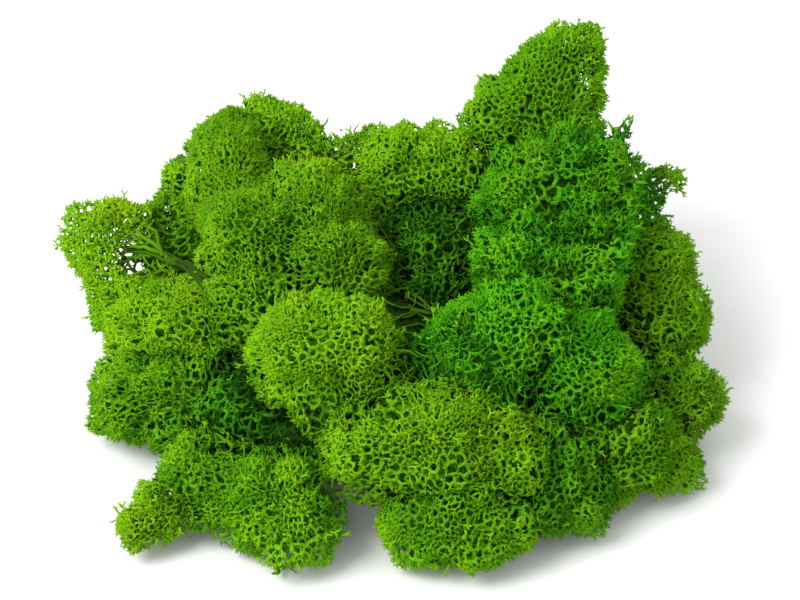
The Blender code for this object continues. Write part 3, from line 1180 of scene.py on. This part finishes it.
    def add_arms(self, strands: StrandMesh, net: Net, sunk: np.ndarray) -> None:
        """Let pointed arms rise from the joints along some of the limbs.

        Args:
            strands: The mesh that the arms go into.
            net: The net.
            sunk: How deep each joint was sunk.
        """
        habit = self.habit
        joints = net.joints
        arms = np.concatenate((net.limbs, net.limbs[:, ::-1]))
        arms = arms[self.draw.uniform(size=len(arms)) < habit.arm_share]
        count = len(arms)
        start = joints.points[arms[:, 0]]
        reach = (joints.points[arms[:, 1]] - start) * habit.arm_reach
        reach = reach * self.draw.uniform(*ARM_REACH_SPREAD, (count, 1))
        normals = joints.normals[arms[:, 0]]
        rise = habit.arm_rise * self.draw.uniform(*ARM_RISE_SPREAD, (count, 1))
        depth = sunk[arms[:, 0]] * MILLIMETRES
        paths = np.stack((start, start + reach + normals * rise), axis=1)
        strands.add_strands(paths, np.full((count, 2), habit.limb_radius * ARM_THICKNESS),
                            np.stack((depth + ARM_FOOT_DEPTH, depth), axis=1),
                            self.tints(count), pointed=True)

    def add_crown(self, strands: StrandMesh, joints: Layer, sunk: np.ndarray) -> None:
        """Let short pointed tips grow out of the joints.

        Args:
            strands: The mesh that the tips go into.
            joints: The joints.
            sunk: How deep each joint was sunk.
        """
        habit = self.habit
        star = np.repeat(np.arange(len(joints.points)), habit.tips)
        star = star[self.draw.uniform(size=len(star)) < habit.tip_share]
        self.add_tips(strands, joints.points[star], joints.normals[star],
                      sunk[star] * MILLIMETRES, habit.tip_length)

    def add_tips(self, strands: StrandMesh, start: np.ndarray, normals: np.ndarray,
                 depth: np.ndarray, length: float) -> None:
        """Add one pointed tip at each place.

        Args:
            strands: The mesh that the tips go into.
            start: Where the tips start.
            normals: The head's outward normals there.
            depth: Depth of the tips' ends in millimetres.
            length: Usual length of a tip.
        """
        count = len(start)
        aside = across(normals, self.draw) * self.draw.uniform(*TIP_LEAN_SPREAD, (count, 1))
        aim = unit(normals + aside * self.habit.tip_spread)
        reach = aim * length * self.draw.uniform(*TIP_LENGTH_SPREAD, (count, 1))
        radii = np.full((count, 2), self.habit.limb_radius * TIP_THICKNESS)
        depths = np.stack((depth + TIP_FOOT_DEPTH, depth), axis=1)
        strands.add_strands(np.stack((start, start + reach), axis=1), radii, depths,
                            self.tints(count), pointed=True)

    def add_sprigs(self, strands: StrandMesh, joints: Layer) -> None:
        """Let a few twice-forked sprigs stand out of the net.

        Args:
            strands: The mesh that the sprigs go into.
            joints: The joints that may carry one.
        """
        habit = self.habit
        free = np.flatnonzero(~self.space.buried(joints.points, joints.normals))
        chosen = free[self.draw.uniform(size=len(free)) < habit.sprig_share]
        base, normals = joints.points[chosen], joints.normals[chosen]
        aim = unit(normals + across(normals, self.draw)
                   * self.draw.uniform(*SPRIG_LEAN_SPREAD, (len(chosen), 1)))
        size = habit.sprig_rise * self.draw.uniform(*SPRIG_SIZE_SPREAD, (len(chosen), 1))
        self.add_antlers(strands, base, aim, size)

    def add_antlers(self, strands: StrandMesh, base: np.ndarray, aim: np.ndarray,
                    size: np.ndarray) -> None:
        """Add twice-forked sprigs.

        Args:
            strands: The mesh that the sprigs go into.
            base: Where they start.
            aim: Their directions.
            size: Length of each one's first limb, of shape (n, 1).
        """
        self.add_rods(strands, base, base + aim * size, SPRIG_TAPER)
        fork = base + aim * size * FORK_PLACE
        fan = across(aim, self.draw)
        for side in (-1.0, 1.0):
            lean = fan * side * self.draw.uniform(*PRONG_LEAN_SPREAD, (len(base), 1))
            turned = unit(aim + lean)
            end = fork + turned * size * self.draw.uniform(*PRONG_SIZE_SPREAD, (len(base), 1))
            self.add_rods(strands, fork, end, PRONG_TAPER)
            for back in PRONG_TIPS:
                self.add_tips(strands, fork * back + end * (1.0 - back), turned,
                              np.zeros(len(base)), self.habit.tip_length)

    def add_rods(self, strands: StrandMesh, start: np.ndarray, end: np.ndarray,
                 taper: tuple[float, float]) -> None:
        """Add straight rods close under the surface.

        Args:
            strands: The mesh that the rods go into.
            start: Where they start.
            end: Where they end.
            taper: Radius at the start and at the end, as shares of a limb's.
        """
        count = len(start)
        radii = np.array([share * self.habit.limb_radius for share in taper])
        strands.add_strands(np.stack((start, end), axis=1), np.tile(radii, (count, 1)),
                            np.tile(np.array(SPRIG_DEPTHS), (count, 1)), self.tints(count))

    def add_branches(self, strands: StrandMesh, outer: Layer, inner: Layer, tip_radius: float,
                     foot_radius: float) -> None:
        """Join each fork of one layer to the nearest fork of the layer below.

        Args:
            strands: The mesh that the branches go into.
            outer: The forks to be carried.
            inner: The forks that carry them.
            tip_radius: Radius where a branch carries its fork.
            foot_radius: Radius at its foot.
        """
        back = (inner.depth - outer.depth) * self.branch_back
        parents, _ = inner.nearest(outer.points - outer.normals * back)
        ones = np.ones(len(parents))
        self.add_curves(strands, (inner.points[parents], inner.normals[parents]),
                        (outer.points, outer.normals), (ones * foot_radius, ones * tip_radius),
                        (inner.depth, outer.depth), steps=3)

    def add_limbs(self, strands: StrandMesh, forks: Layer) -> None:
        """Join the innermost forks to the heart, or to where the core hides them.

        Args:
            strands: The mesh that the limbs go into.
            forks: The innermost forks.
        """
        inwards = unit(self.space.heart - forks.points)
        feet = forks.points + inwards * self.limb_length
        thick = np.full(len(feet), self.fork_radius)
        self.add_curves(strands, (feet, -inwards), (forks.points, forks.normals),
                        (thick * self.limb_swell, thick),
                        (forks.depth + self.limb_sink, forks.depth), steps=2)

    def add_curves(self, strands: StrandMesh, feet: tuple[np.ndarray, np.ndarray],
                   heads: tuple[np.ndarray, np.ndarray], radii: tuple[np.ndarray, np.ndarray],
                   depths: tuple[float, float], steps: int, sides: int = 3) -> None:
        """Add curved, tapering branches.

        Args:
            strands: The mesh that the branches go into.
            feet: Where the branches start, and their directions there.
            heads: Where they end, and their directions there.
            radii: Radius at each foot and at each head.
            depths: Depth at the foot and at the head.
            steps: Points along each branch.
            sides: Corners of a branch's section.
        """
        length = np.linalg.norm(heads[0] - feet[0], axis=1, keepdims=True)
        first = feet[0] + feet[1] * length * FOOT_PULL
        second = heads[0] - heads[1] * length * HEAD_PULL
        along = np.linspace(0.0, 1.0, steps)
        share = along[None, :, None]
        paths = (feet[0][:, None] * (1 - share) ** 3 + first[:, None] * 3 * share * (1 - share) ** 2
                 + second[:, None] * 3 * share ** 2 * (1 - share) + heads[0][:, None] * share ** 3)
        thick = radii[0][:, None] + (radii[1] - radii[0])[:, None] * along[None, :]
        deep = (depths[0] + (depths[1] - depths[0]) * along) * MILLIMETRES
        count = len(paths)
        strands.add_strands(paths, thick, np.tile(deep, (count, 1)), self.tints(count), sides)

    def add_core(self, strands: StrandMesh) -> None:
        """Add the matted heart that shuts off the view through the head, coloured in painted hollow
        shade.

        Args:
            strands: The mesh that the core goes into.
        """
        ball = bmesh.new()
        bmesh.ops.create_icosphere(ball, subdivisions=CORE_SUBDIVISIONS, radius=1.0)
        directions = unit(np.array([vertex.co[:] for vertex in ball.verts]))
        faces = np.array([[vertex.index for vertex in face.verts] for face in ball.faces])
        ball.free()
        corners = self.space.survey(directions, self.habit.core_depth)
        rough = self.draw.uniform(*CORE_ROUGHNESS, len(directions)) / MILLIMETRES
        corners = corners + directions * rough[:, None]
        corners[:, 2] = np.maximum(corners[:, 2], GROUND_CLEARANCE)
        strands.add_mesh(corners, faces, np.full(len(corners), CORE_COLOUR_DEPTH),
                         np.ones(len(corners)))

    def add_undergrowth(self, strands: StrandMesh) -> None:
        """Cover the core with short, loose twigs, darkened by painted shade through their depth.

        Args:
            strands: The mesh that the twigs go into.
        """
        roots = self.layer(self.habit.core_depth - self.twig_lift,
                           self.habit.pore * self.twig_ratio)
        count = len(roots.points)
        aim = unit(roots.normals * self.draw.uniform(*self.twig_lean, (count, 1))
                   + across(roots.normals, self.draw))
        length = self.draw.uniform(*self.twig_length, (count, 1))
        paths = np.stack((roots.points - aim * length * self.twig_root,
                          roots.points + aim * length), axis=1)
        depths = np.tile(np.array(TWIG_DEPTHS), (count, 1))
        strands.add_strands(paths, np.full((count, 2), self.net_radius), depths,
                            self.tints(count), pointed=True)


@dataclass
class ArmHead(MossHead):
    """The head that stands away from the clump on a bare, forked stem."""

    stem: tuple[tuple[float, float, float], ...] = (
        (-0.0440, 0.0010, 0.0280), (-0.0458, 0.0020, 0.0400), (-0.0516, 0.0140, 0.0378),
        (-0.0570, 0.0265, 0.0315), (-0.0640, 0.0310, 0.0320), (-0.0700, 0.0330, 0.0310))
    stem_strands: int = 7
    stem_spread: float = 0.00060
    stem_radii: tuple[float, float] = (0.00080, 0.00036)
    stem_sides: int = 6
    stem_colour: tuple[float, float] = (5.6, 0.9)
    limbs: tuple[tuple[tuple[float, float, float], ...], ...] = (
        ((-0.058, 0.027, 0.031), (-0.065, 0.033, 0.035), (-0.070, 0.038, 0.035),
         (-0.079, 0.042, 0.034)),
        ((-0.060, 0.029, 0.032), (-0.066, 0.030, 0.033), (-0.071, 0.033, 0.031),
         (-0.078, 0.034, 0.032)),
        ((-0.055, 0.025, 0.030), (-0.061, 0.027, 0.028), (-0.067, 0.026, 0.028),
         (-0.074, 0.027, 0.025)),
        ((-0.060, 0.028, 0.032), (-0.062, 0.033, 0.036), (-0.065, 0.036, 0.037),
         (-0.067, 0.041, 0.038)),
        ((-0.053, 0.024, 0.029), (-0.057, 0.030, 0.029), (-0.062, 0.034, 0.029),
         (-0.067, 0.037, 0.029)),
        ((-0.064, 0.031, 0.032), (-0.069, 0.035, 0.034), (-0.073, 0.038, 0.036),
         (-0.077, 0.041, 0.036)),
        ((-0.062, 0.030, 0.032), (-0.067, 0.031, 0.030), (-0.072, 0.031, 0.028),
         (-0.077, 0.030, 0.027)),
        ((-0.049, 0.012, 0.036), (-0.054, 0.019, 0.031), (-0.060, 0.022, 0.029),
         (-0.066, 0.023, 0.028)))
    main_radius: float = 0.00050
    main_taper: tuple[float, float] = (1.45, 0.5)
    main_sides: int = 5
    main_colour: tuple[float, float] = (5.0, 0.8)
    bare_points: int = 2
    root_choice: tuple[float, float] = (0.0, 0.0025)
    shoot_taper: tuple[float, float] = (0.8, 0.6)
    shoot_depths: tuple[float, float] = (0.0032, 0.0018)
    wiggle: float = 0.0004
    stem_wiggle_share: float = 0.5
    bare_side: tuple[float, float, float] = (0.62, -0.62, 0.48)
    bare_share: float = 0.92

    def grows(self, directions: np.ndarray) -> np.ndarray:
        """Leave the side that the stem comes from bare, so that the forked limbs show."""
        return directions @ unit(np.array(self.bare_side)) < self.bare_share

    def add_limbs(self, strands: StrandMesh, forks: Layer) -> None:
        """Run the bare stem into the head and fan its limbs out to the forks.

        Args:
            strands: The mesh that the limbs go into.
            forks: The innermost forks.
        """
        stem = np.repeat(self.smoothed(np.array((self.stem,))), self.stem_strands, axis=0)
        stem = stem + self.draw.normal(0.0, self.stem_spread, (len(stem), 1, 3))
        stem = stem + self.draw.normal(0.0, self.wiggle * self.stem_wiggle_share, stem.shape)
        self.add_bare(strands, stem, np.linspace(*self.stem_radii, stem.shape[1]),
                      self.stem_colour, self.stem_sides)
        limbs = self.smoothed(np.array(self.limbs))
        limbs[:, 1:] += self.draw.normal(0.0, self.wiggle, limbs[:, 1:].shape)
        taper = np.linspace(*self.main_taper, limbs.shape[1]) * self.main_radius
        self.add_bare(strands, limbs, taper, self.main_colour, self.main_sides)
        roots = limbs[:, self.bare_points:].reshape(-1, 3)
        gaps = np.linalg.norm(forks.points[:, None] - roots[None], axis=2)
        gaps = gaps + self.draw.uniform(*self.root_choice, gaps.shape)
        feet = roots[gaps.argmin(axis=1)]
        aims = unit(forks.points - feet)
        thick = np.full(len(feet), self.fork_radius)
        foot_share, head_share = self.shoot_taper
        self.add_curves(strands, (feet, aims), (forks.points, forks.normals),
                        (thick * foot_share, thick * head_share), self.shoot_depths,
                        steps=4, sides=4)

    @staticmethod
    def add_bare(strands: StrandMesh, paths: np.ndarray, taper: np.ndarray,
                 colour: tuple[float, float], sides: int) -> None:
        """Add bare strands that all taper alike.

        Args:
            strands: The mesh that the strands go into.
            paths: Points of shape (strands, steps, 3).
            taper: Radius at each step.
            colour: Depth in millimetres and share of the body colour that colour them.
            sides: Corners of a strand's section.
        """
        depth, tint = colour
        radii = np.tile(taper, (len(paths), 1))
        strands.add_strands(paths, radii, np.full(radii.shape, depth), np.full(len(paths), tint),
                            sides=sides)

    @staticmethod
    def smoothed(lines: np.ndarray) -> np.ndarray:
        """Round some lines by cutting their corners.

        Args:
            lines: Points of shape (lines, steps, 3).

        Returns:
            Lines with more points, between the same ends.
        """
        kept = 1.0 - CORNER_CUT
        for _ in range(CORNER_ROUNDS):
            near = lines[:, :-1] * kept + lines[:, 1:] * CORNER_CUT
            far = lines[:, :-1] * CORNER_CUT + lines[:, 1:] * kept
            inner = np.stack((near, far), axis=2).reshape(len(lines), -1, 3)
            lines = np.concatenate((lines[:, :1], inner[:, 1:-1], lines[:, -1:]), axis=1)
        return lines


@dataclass
class StemBed(MossHead):
    """A bed of old interwoven stems under the heads."""

    strand_count: int = 215
    strand_steps: int = 7
    strand_step: float = 0.0022
    strand_radius: float = 0.00042
    strand_spread: tuple[float, float] = (0.55, 1.4)
    strand_taper: tuple[float, float] = (1.15, 0.6)
    strand_depths: tuple[float, float] = (1.0, 4.2)
    sinks: tuple[float, float] = (0.0002, 0.0015)
    scatter: float = 0.05
    wander: float = 0.45

    def build(self) -> bpy.types.Object:
        """Weave the bed.

        Returns:
            The bed as one object.
        """
        strands = StrandMesh(self.draw)
        for sink in self.sinks:
            self.add_weave(strands, sink)
        self.add_core(strands)
        strands.set_warmth(self.warmth, BLUSHES)
        return strands.build(f"{self.name}_weave")

    def add_weave(self, strands: StrandMesh, sink: float) -> None:
        """Lay strands that wander over the bed at one depth.

        Args:
            strands: The mesh that the strands go into.
            sink: Depth under the bed's surface.
        """
        directions = even_directions(self.strand_count)
        directions = unit(directions + self.draw.normal(size=directions.shape) * self.scatter)
        heading = across(directions, self.draw)
        points = []
        for _ in range(self.strand_steps):
            place = self.space.survey(directions, sink)
            points.append(place)
            grown = np.linalg.norm(place - self.space.heart, axis=1)
            heading = unit(heading + across(directions, self.draw) * self.wander)
            slope = np.sum(heading * directions, axis=1, keepdims=True)
            heading = unit(heading - directions * slope)
            directions = unit(directions + heading * (self.strand_step / grown)[:, None])
        paths = np.stack(points, axis=1)
        count = len(paths)
        thick = self.strand_radius * self.draw.uniform(*self.strand_spread, (count, 1))
        taper = np.linspace(*self.strand_taper, self.strand_steps)[None, :]
        deep = self.draw.uniform(*self.strand_depths, (count, 1)) * np.ones(taper.shape)
        strands.add_strands(paths, thick * taper, deep, self.tints(count))


# Each finish's shade is partly its older branches' own darker green and partly painted shade
FINISHES = (
    MossFinish(Hue.LIME, tip=(0.515, 0.755, 0.03), body=(0.43, 0.67, 0.02),
               shade=(0.27, 0.50, 0.0), warmth=(1.35, 1.05, 1.0)),
    MossFinish(Hue.VIVID, tip=(0.380, 0.720, 0.03), body=(0.280, 0.625, 0.02),
               shade=(0.16, 0.45, 0.0), warmth=(2.05, 1.10, 1.0)),
    MossFinish(Hue.DEEP, tip=(0.365, 0.69, 0.03), body=(0.255, 0.58, 0.02),
               shade=(0.13, 0.39, 0.0), warmth=(2.00, 1.10, 1.0)),
    MossFinish(Hue.OLIVE, tip=(0.49, 0.725, 0.03), body=(0.38, 0.62, 0.02),
               shade=(0.235, 0.46, 0.0), warmth=(1.35, 1.05, 1.0)),
    MossFinish(Hue.OLD, tip=(0.38, 0.55, 0.05), body=(0.24, 0.42, 0.03),
               shade=(0.08, 0.22, 0.0), warmth=(1.35, 1.00, 1.0)),
)

BLUSHES = (
    Lobe(0.035, 0.033, 0.062, 0.0055),
    Lobe(0.046, -0.010, 0.038, 0.0065),
    Lobe(-0.072, 0.041, 0.041, 0.0060),
    Lobe(-0.050, 0.010, 0.036, 0.0080),
    Lobe(-0.022, 0.034, 0.058, 0.0060),
    Lobe(0.038, 0.056, 0.060, 0.0070),
)

HEADS = (
    ArmHead("left_arm", Hue.LIME, LACE, 0.45, (
        Lobe(-0.0826, 0.042, 0.0320, 0.0054),
        Lobe(-0.0757, 0.040, 0.0300, 0.0074),
        Lobe(-0.0728, 0.039, 0.0352, 0.0052),
        Lobe(-0.0650, 0.0375, 0.0270, 0.0044),
        Lobe(-0.0768, 0.034, 0.0285, 0.0078),
        Lobe(-0.0720, 0.027, 0.0220, 0.0088),
        Lobe(-0.0670, 0.023, 0.024, 0.0070))),
    MossHead("upper_left", Hue.LIME, NET, 0.08, (
        Lobe(-0.0540, 0.053, 0.0335, 0.0116),
        Lobe(-0.0550, 0.042, 0.0255, 0.0114),
        Lobe(-0.051, 0.051, 0.014, 0.0155))),
    MossHead("upper_left_front", Hue.OLIVE, VELVET, 0.35, (
        Lobe(-0.0430, 0.051, 0.0485, 0.0106),
        Lobe(-0.042, 0.039, 0.043, 0.0125),
        Lobe(-0.049, 0.057, 0.048, 0.0055))),
    MossHead("top_left_back", Hue.LIME, NET, 0.0, (
        Lobe(-0.0420, 0.069, 0.0455, 0.0106),
        Lobe(-0.0345, 0.071, 0.0415, 0.0120),
        Lobe(-0.0265, 0.066, 0.0385, 0.0102),
        Lobe(-0.029, 0.062, 0.016, 0.0160))),
    MossHead("top_small", Hue.LIME, NET, 0.25, (
        Lobe(-0.0085, 0.062, 0.0440, 0.0085),
        Lobe(-0.0165, 0.060, 0.0360, 0.0092),
        Lobe(-0.0180, 0.046, 0.0210, 0.0120),
        Lobe(-0.007, 0.060, 0.018, 0.0140))),
    MossHead("centre_left", Hue.OLIVE, CUSHION, 0.20, (
        Lobe(-0.037, 0.018, 0.044, 0.0145),
        Lobe(-0.020, 0.026, 0.046, 0.0145),
        Lobe(-0.013, 0.009, 0.042, 0.0135),
        Lobe(-0.035, 0.002, 0.034, 0.0130))),
    MossHead("centre", Hue.LIME, CUSHION, 0.15, (
        Lobe(-0.0225, -0.020, 0.037, 0.0134),
        Lobe(-0.0105, -0.021, 0.038, 0.0134),
        Lobe(-0.0140, -0.023, 0.025, 0.0128))),
    MossHead("left", Hue.LIME, CUSHION, 0.35, (
        Lobe(-0.0622, 0.011, 0.0210, 0.0126),
        Lobe(-0.050, 0.003, 0.025, 0.0140),
        Lobe(-0.059, 0.023, 0.012, 0.0150))),
    MossHead("left_low", Hue.DEEP, CUSHION, 1.0, (
        Lobe(-0.0668, -0.010, 0.0132, 0.0118),
        Lobe(-0.053, -0.012, 0.016, 0.0140))),
    MossHead("left_gap", Hue.DEEP, LOOSE, 0.40, (
        Lobe(-0.038, -0.018, 0.017, 0.0135),
        Lobe(-0.024, -0.025, 0.013, 0.0125)), recess_shade_depth=1.3),
    MossHead("front_left", Hue.VIVID, NET, 1.0, (
        Lobe(-0.0475, -0.0365, 0.0115, 0.0125),
        Lobe(-0.0295, -0.0460, 0.0110, 0.0135),
        Lobe(-0.0420, -0.0465, 0.0080, 0.0072),
        Lobe(-0.0225, -0.0545, 0.0090, 0.0117))),
    MossHead("front_left_foot", Hue.LIME, NET, 0.40, (
        Lobe(-0.0600, -0.0526, 0.0060, 0.0078),
        Lobe(-0.0545, -0.0450, 0.0070, 0.0088))),
    MossHead("front_middle", Hue.LIME, CUSHION, 0.15, (
        Lobe(-0.002, -0.040, 0.021, 0.0140),
        Lobe(0.013, -0.041, 0.024, 0.0155),
        Lobe(0.026, -0.042, 0.018, 0.0125))),
    MossHead("front_low", Hue.VIVID, CUSHION, 1.0, (
        Lobe(0.0075, -0.0540, 0.0090, 0.0120),
        Lobe(0.0165, -0.0505, 0.0110, 0.0135),
        Lobe(0.0230, -0.0535, 0.0090, 0.0115))),
    MossHead("top_centre", Hue.LIME, VELVET, 0.05, (
        Lobe(0.0030, 0.049, 0.0448, 0.0128),
        Lobe(0.0150, 0.050, 0.0435, 0.0135),
        Lobe(0.009, 0.054, 0.018, 0.0170))),
    MossHead("inner_gap", Hue.DEEP, LOOSE, 0.45, (
        Lobe(0.009, 0.032, 0.0320, 0.0130),
        Lobe(0.019, 0.034, 0.0325, 0.0120),
        Lobe(0.007, 0.016, 0.0250, 0.0130)), recess_shade_depth=0.7),
    MossHead("tall", Hue.VIVID, VELVET, 0.98, (
        Lobe(0.0480, 0.068, 0.0690, 0.0110),
        Lobe(0.040, 0.064, 0.063, 0.0120),
        Lobe(0.0290, 0.059, 0.0560, 0.0115),
        Lobe(0.042, 0.059, 0.052, 0.0140),
        Lobe(0.037, 0.059, 0.034, 0.0165),
        Lobe(0.036, 0.058, 0.016, 0.0170))),
    MossHead("right_upper", Hue.DEEP, OPEN_NET, 0.18, (
        Lobe(0.0612, 0.044, 0.0618, 0.0045),
        Lobe(0.047, 0.034, 0.053, 0.0150),
        Lobe(0.0575, 0.034, 0.0455, 0.0133),
        Lobe(0.034, 0.027, 0.049, 0.0145),
        Lobe(0.050, 0.017, 0.046, 0.0140))),
    MossHead("right_spur", Hue.OLIVE, OPEN_NET, 0.30, (
        Lobe(0.0712, 0.0455, 0.0438, 0.0078),
        Lobe(0.0570, 0.048, 0.0180, 0.0140))),
    MossHead("right_net", Hue.VIVID, OPEN_NET, 0.12, (
        Lobe(0.031, 0.004, 0.044, 0.0140),
        Lobe(0.047, 0.002, 0.041, 0.0135))),
    MossHead("right", Hue.OLIVE, VELVET, 0.20, (
        Lobe(0.0662, 0.024, 0.0320, 0.0133),
        Lobe(0.0703, 0.011, 0.0235, 0.0132),
        Lobe(0.0665, 0.020, 0.0145, 0.0140))),
    MossHead("centre_right", Hue.VIVID, OPEN_NET, 0.05, (
        Lobe(0.0175, -0.019, 0.036, 0.0132),
        Lobe(0.030, -0.019, 0.041, 0.0140),
        Lobe(0.022, -0.024, 0.028, 0.0140))),
    MossHead("right_low", Hue.VIVID, CUSHION, 0.12, (
        Lobe(0.048, -0.021, 0.031, 0.0155),)),
    MossHead("right_edge", Hue.OLIVE, NET, 0.15, (
        Lobe(0.0725, -0.011, 0.0155, 0.0126),
        Lobe(0.0655, -0.0285, 0.0090, 0.0115),
        Lobe(0.0580, -0.0285, 0.0130, 0.0132))),
    MossHead("front_right", Hue.DEEP, NET, 0.85, (
        Lobe(0.0405, -0.0365, 0.0140, 0.0132),
        Lobe(0.0405, -0.0470, 0.0090, 0.0116),
        Lobe(0.0495, -0.0340, 0.0100, 0.0078))),
    StemBed("stems_left", Hue.OLD, BED, 0.5, (
        Lobe(-0.038, 0.030, 0.016, 0.0170),
        Lobe(-0.032, 0.006, 0.014, 0.0170),
        Lobe(-0.030, 0.046, 0.013, 0.0140))),
    StemBed("stems_middle", Hue.OLD, BED, 0.5, (
        Lobe(0.000, 0.000, 0.016, 0.0200),
        Lobe(-0.009, 0.026, 0.020, 0.0200),
        Lobe(0.010, -0.022, 0.012, 0.0140),
        Lobe(0.008, 0.042, 0.012, 0.0150))),
    StemBed("stems_right", Hue.OLD, BED, 0.5, (
        Lobe(0.036, 0.026, 0.018, 0.0200),
        Lobe(0.040, 0.000, 0.017, 0.0190),
        Lobe(0.034, -0.018, 0.014, 0.0150),
        Lobe(0.040, 0.044, 0.013, 0.0150))),
)


@dataclass
class Studio:
    """Pale floor, soft light and the camera: metres, degrees, watts, and millimetres of lens."""

    elevation: float = 35.0
    lens: float = 100.0
    distance: float = 0.556
    target: tuple[float, float, float] = (0.002, 0.0, 0.0375)
    near_limit: float = 0.01
    floor_size: float = 6.0
    floor_colour: tuple[float, float, float, float] = (0.92, 0.92, 0.92, 1.0)
    floor_roughness: float = 0.9
    floor_specular: float = 0.1
    sky_strength: float = 0.95
    key_place: tuple[float, float, float] = (-0.60, -0.38, 0.82)
    key_size: float = 0.6
    key_power: float = 10.0

    def build(self) -> None:
        """Set up the floor, the light and the camera."""
        self.add_floor()
        self.add_sky()
        self.add_light("key_light", self.key_place, self.key_size, self.key_power)
        self.add_camera()
        bpy.context.scene.view_settings.view_transform = "Standard"

    def add_floor(self) -> None:
        """Lay the plain pale floor."""
        bpy.ops.mesh.primitive_plane_add(size=self.floor_size, location=(0.0, 0.0, 0.0))
        floor = bpy.context.active_object
        floor.name = "floor"
        material = bpy.data.materials.new("pale_floor")
        material.use_nodes = True
        shader = material.node_tree.nodes["Principled BSDF"]
        shader.inputs["Base Color"].default_value = self.floor_colour
        shader.inputs["Roughness"].default_value = self.floor_roughness
        shader.inputs["Specular IOR Level"].default_value = self.floor_specular
        floor.data.materials.append(material)

    def add_sky(self) -> None:
        """Surround the scene with even white light."""
        world = bpy.data.worlds.new("soft_sky")
        world.use_nodes = True
        background = world.node_tree.nodes["Background"]
        background.inputs["Color"].default_value = (1.0, 1.0, 1.0, 1.0)
        background.inputs["Strength"].default_value = self.sky_strength
        bpy.context.scene.world = world

    def add_light(self, name: str, place: tuple[float, float, float], size: float,
                  power: float) -> None:
        """Hang one soft square lamp that faces the clump.

        Args:
            name: The lamp's name.
            place: Where it hangs.
            size: Its side.
            power: Its power in watts.
        """
        data = bpy.data.lights.new(name, "AREA")
        data.size = size
        data.energy = power
        lamp = bpy.data.objects.new(name, data)
        lamp.location = place
        aim = Vector(self.target) - Vector(place)
        lamp.rotation_euler = aim.to_track_quat("-Z", "Y").to_euler()
        bpy.context.scene.collection.objects.link(lamp)

    def add_camera(self) -> None:
        """Place the camera at the photograph's angle."""
        data = bpy.data.cameras.new("camera")
        data.lens = self.lens
        data.clip_start = self.near_limit
        camera = bpy.data.objects.new("camera", data)
        angle = math.radians(self.elevation)
        back = Vector((0.0, -math.cos(angle), math.sin(angle)))
        camera.location = Vector(self.target) + back * self.distance
        camera.rotation_euler = (-back).to_track_quat("-Z", "Y").to_euler()
        bpy.context.scene.collection.objects.link(camera)
        bpy.context.scene.camera = camera


def main() -> None:
    """Build the studio, grow every head and dress it."""
    logging.basicConfig(level=logging.INFO, format="%(message)s")
    Studio().build()
    materials = {finish.hue: finish.material() for finish in FINISHES}
    total = 0
    for number, head in enumerate(HEADS):
        rivals = tuple(lobe for other in HEADS if other is not head for lobe in other.lobes)
        head.settle(number, rivals)
        piece = head.build()
        head.dress(piece, materials[head.hue])
        total += len(piece.data.polygons)
        LOG.info("%s: %d triangles", piece.name, len(piece.data.polygons))
    LOG.info("all pieces: %d triangles", total)
    bpy.context.view_layer.update()


if __name__ == "__main__":
    main()
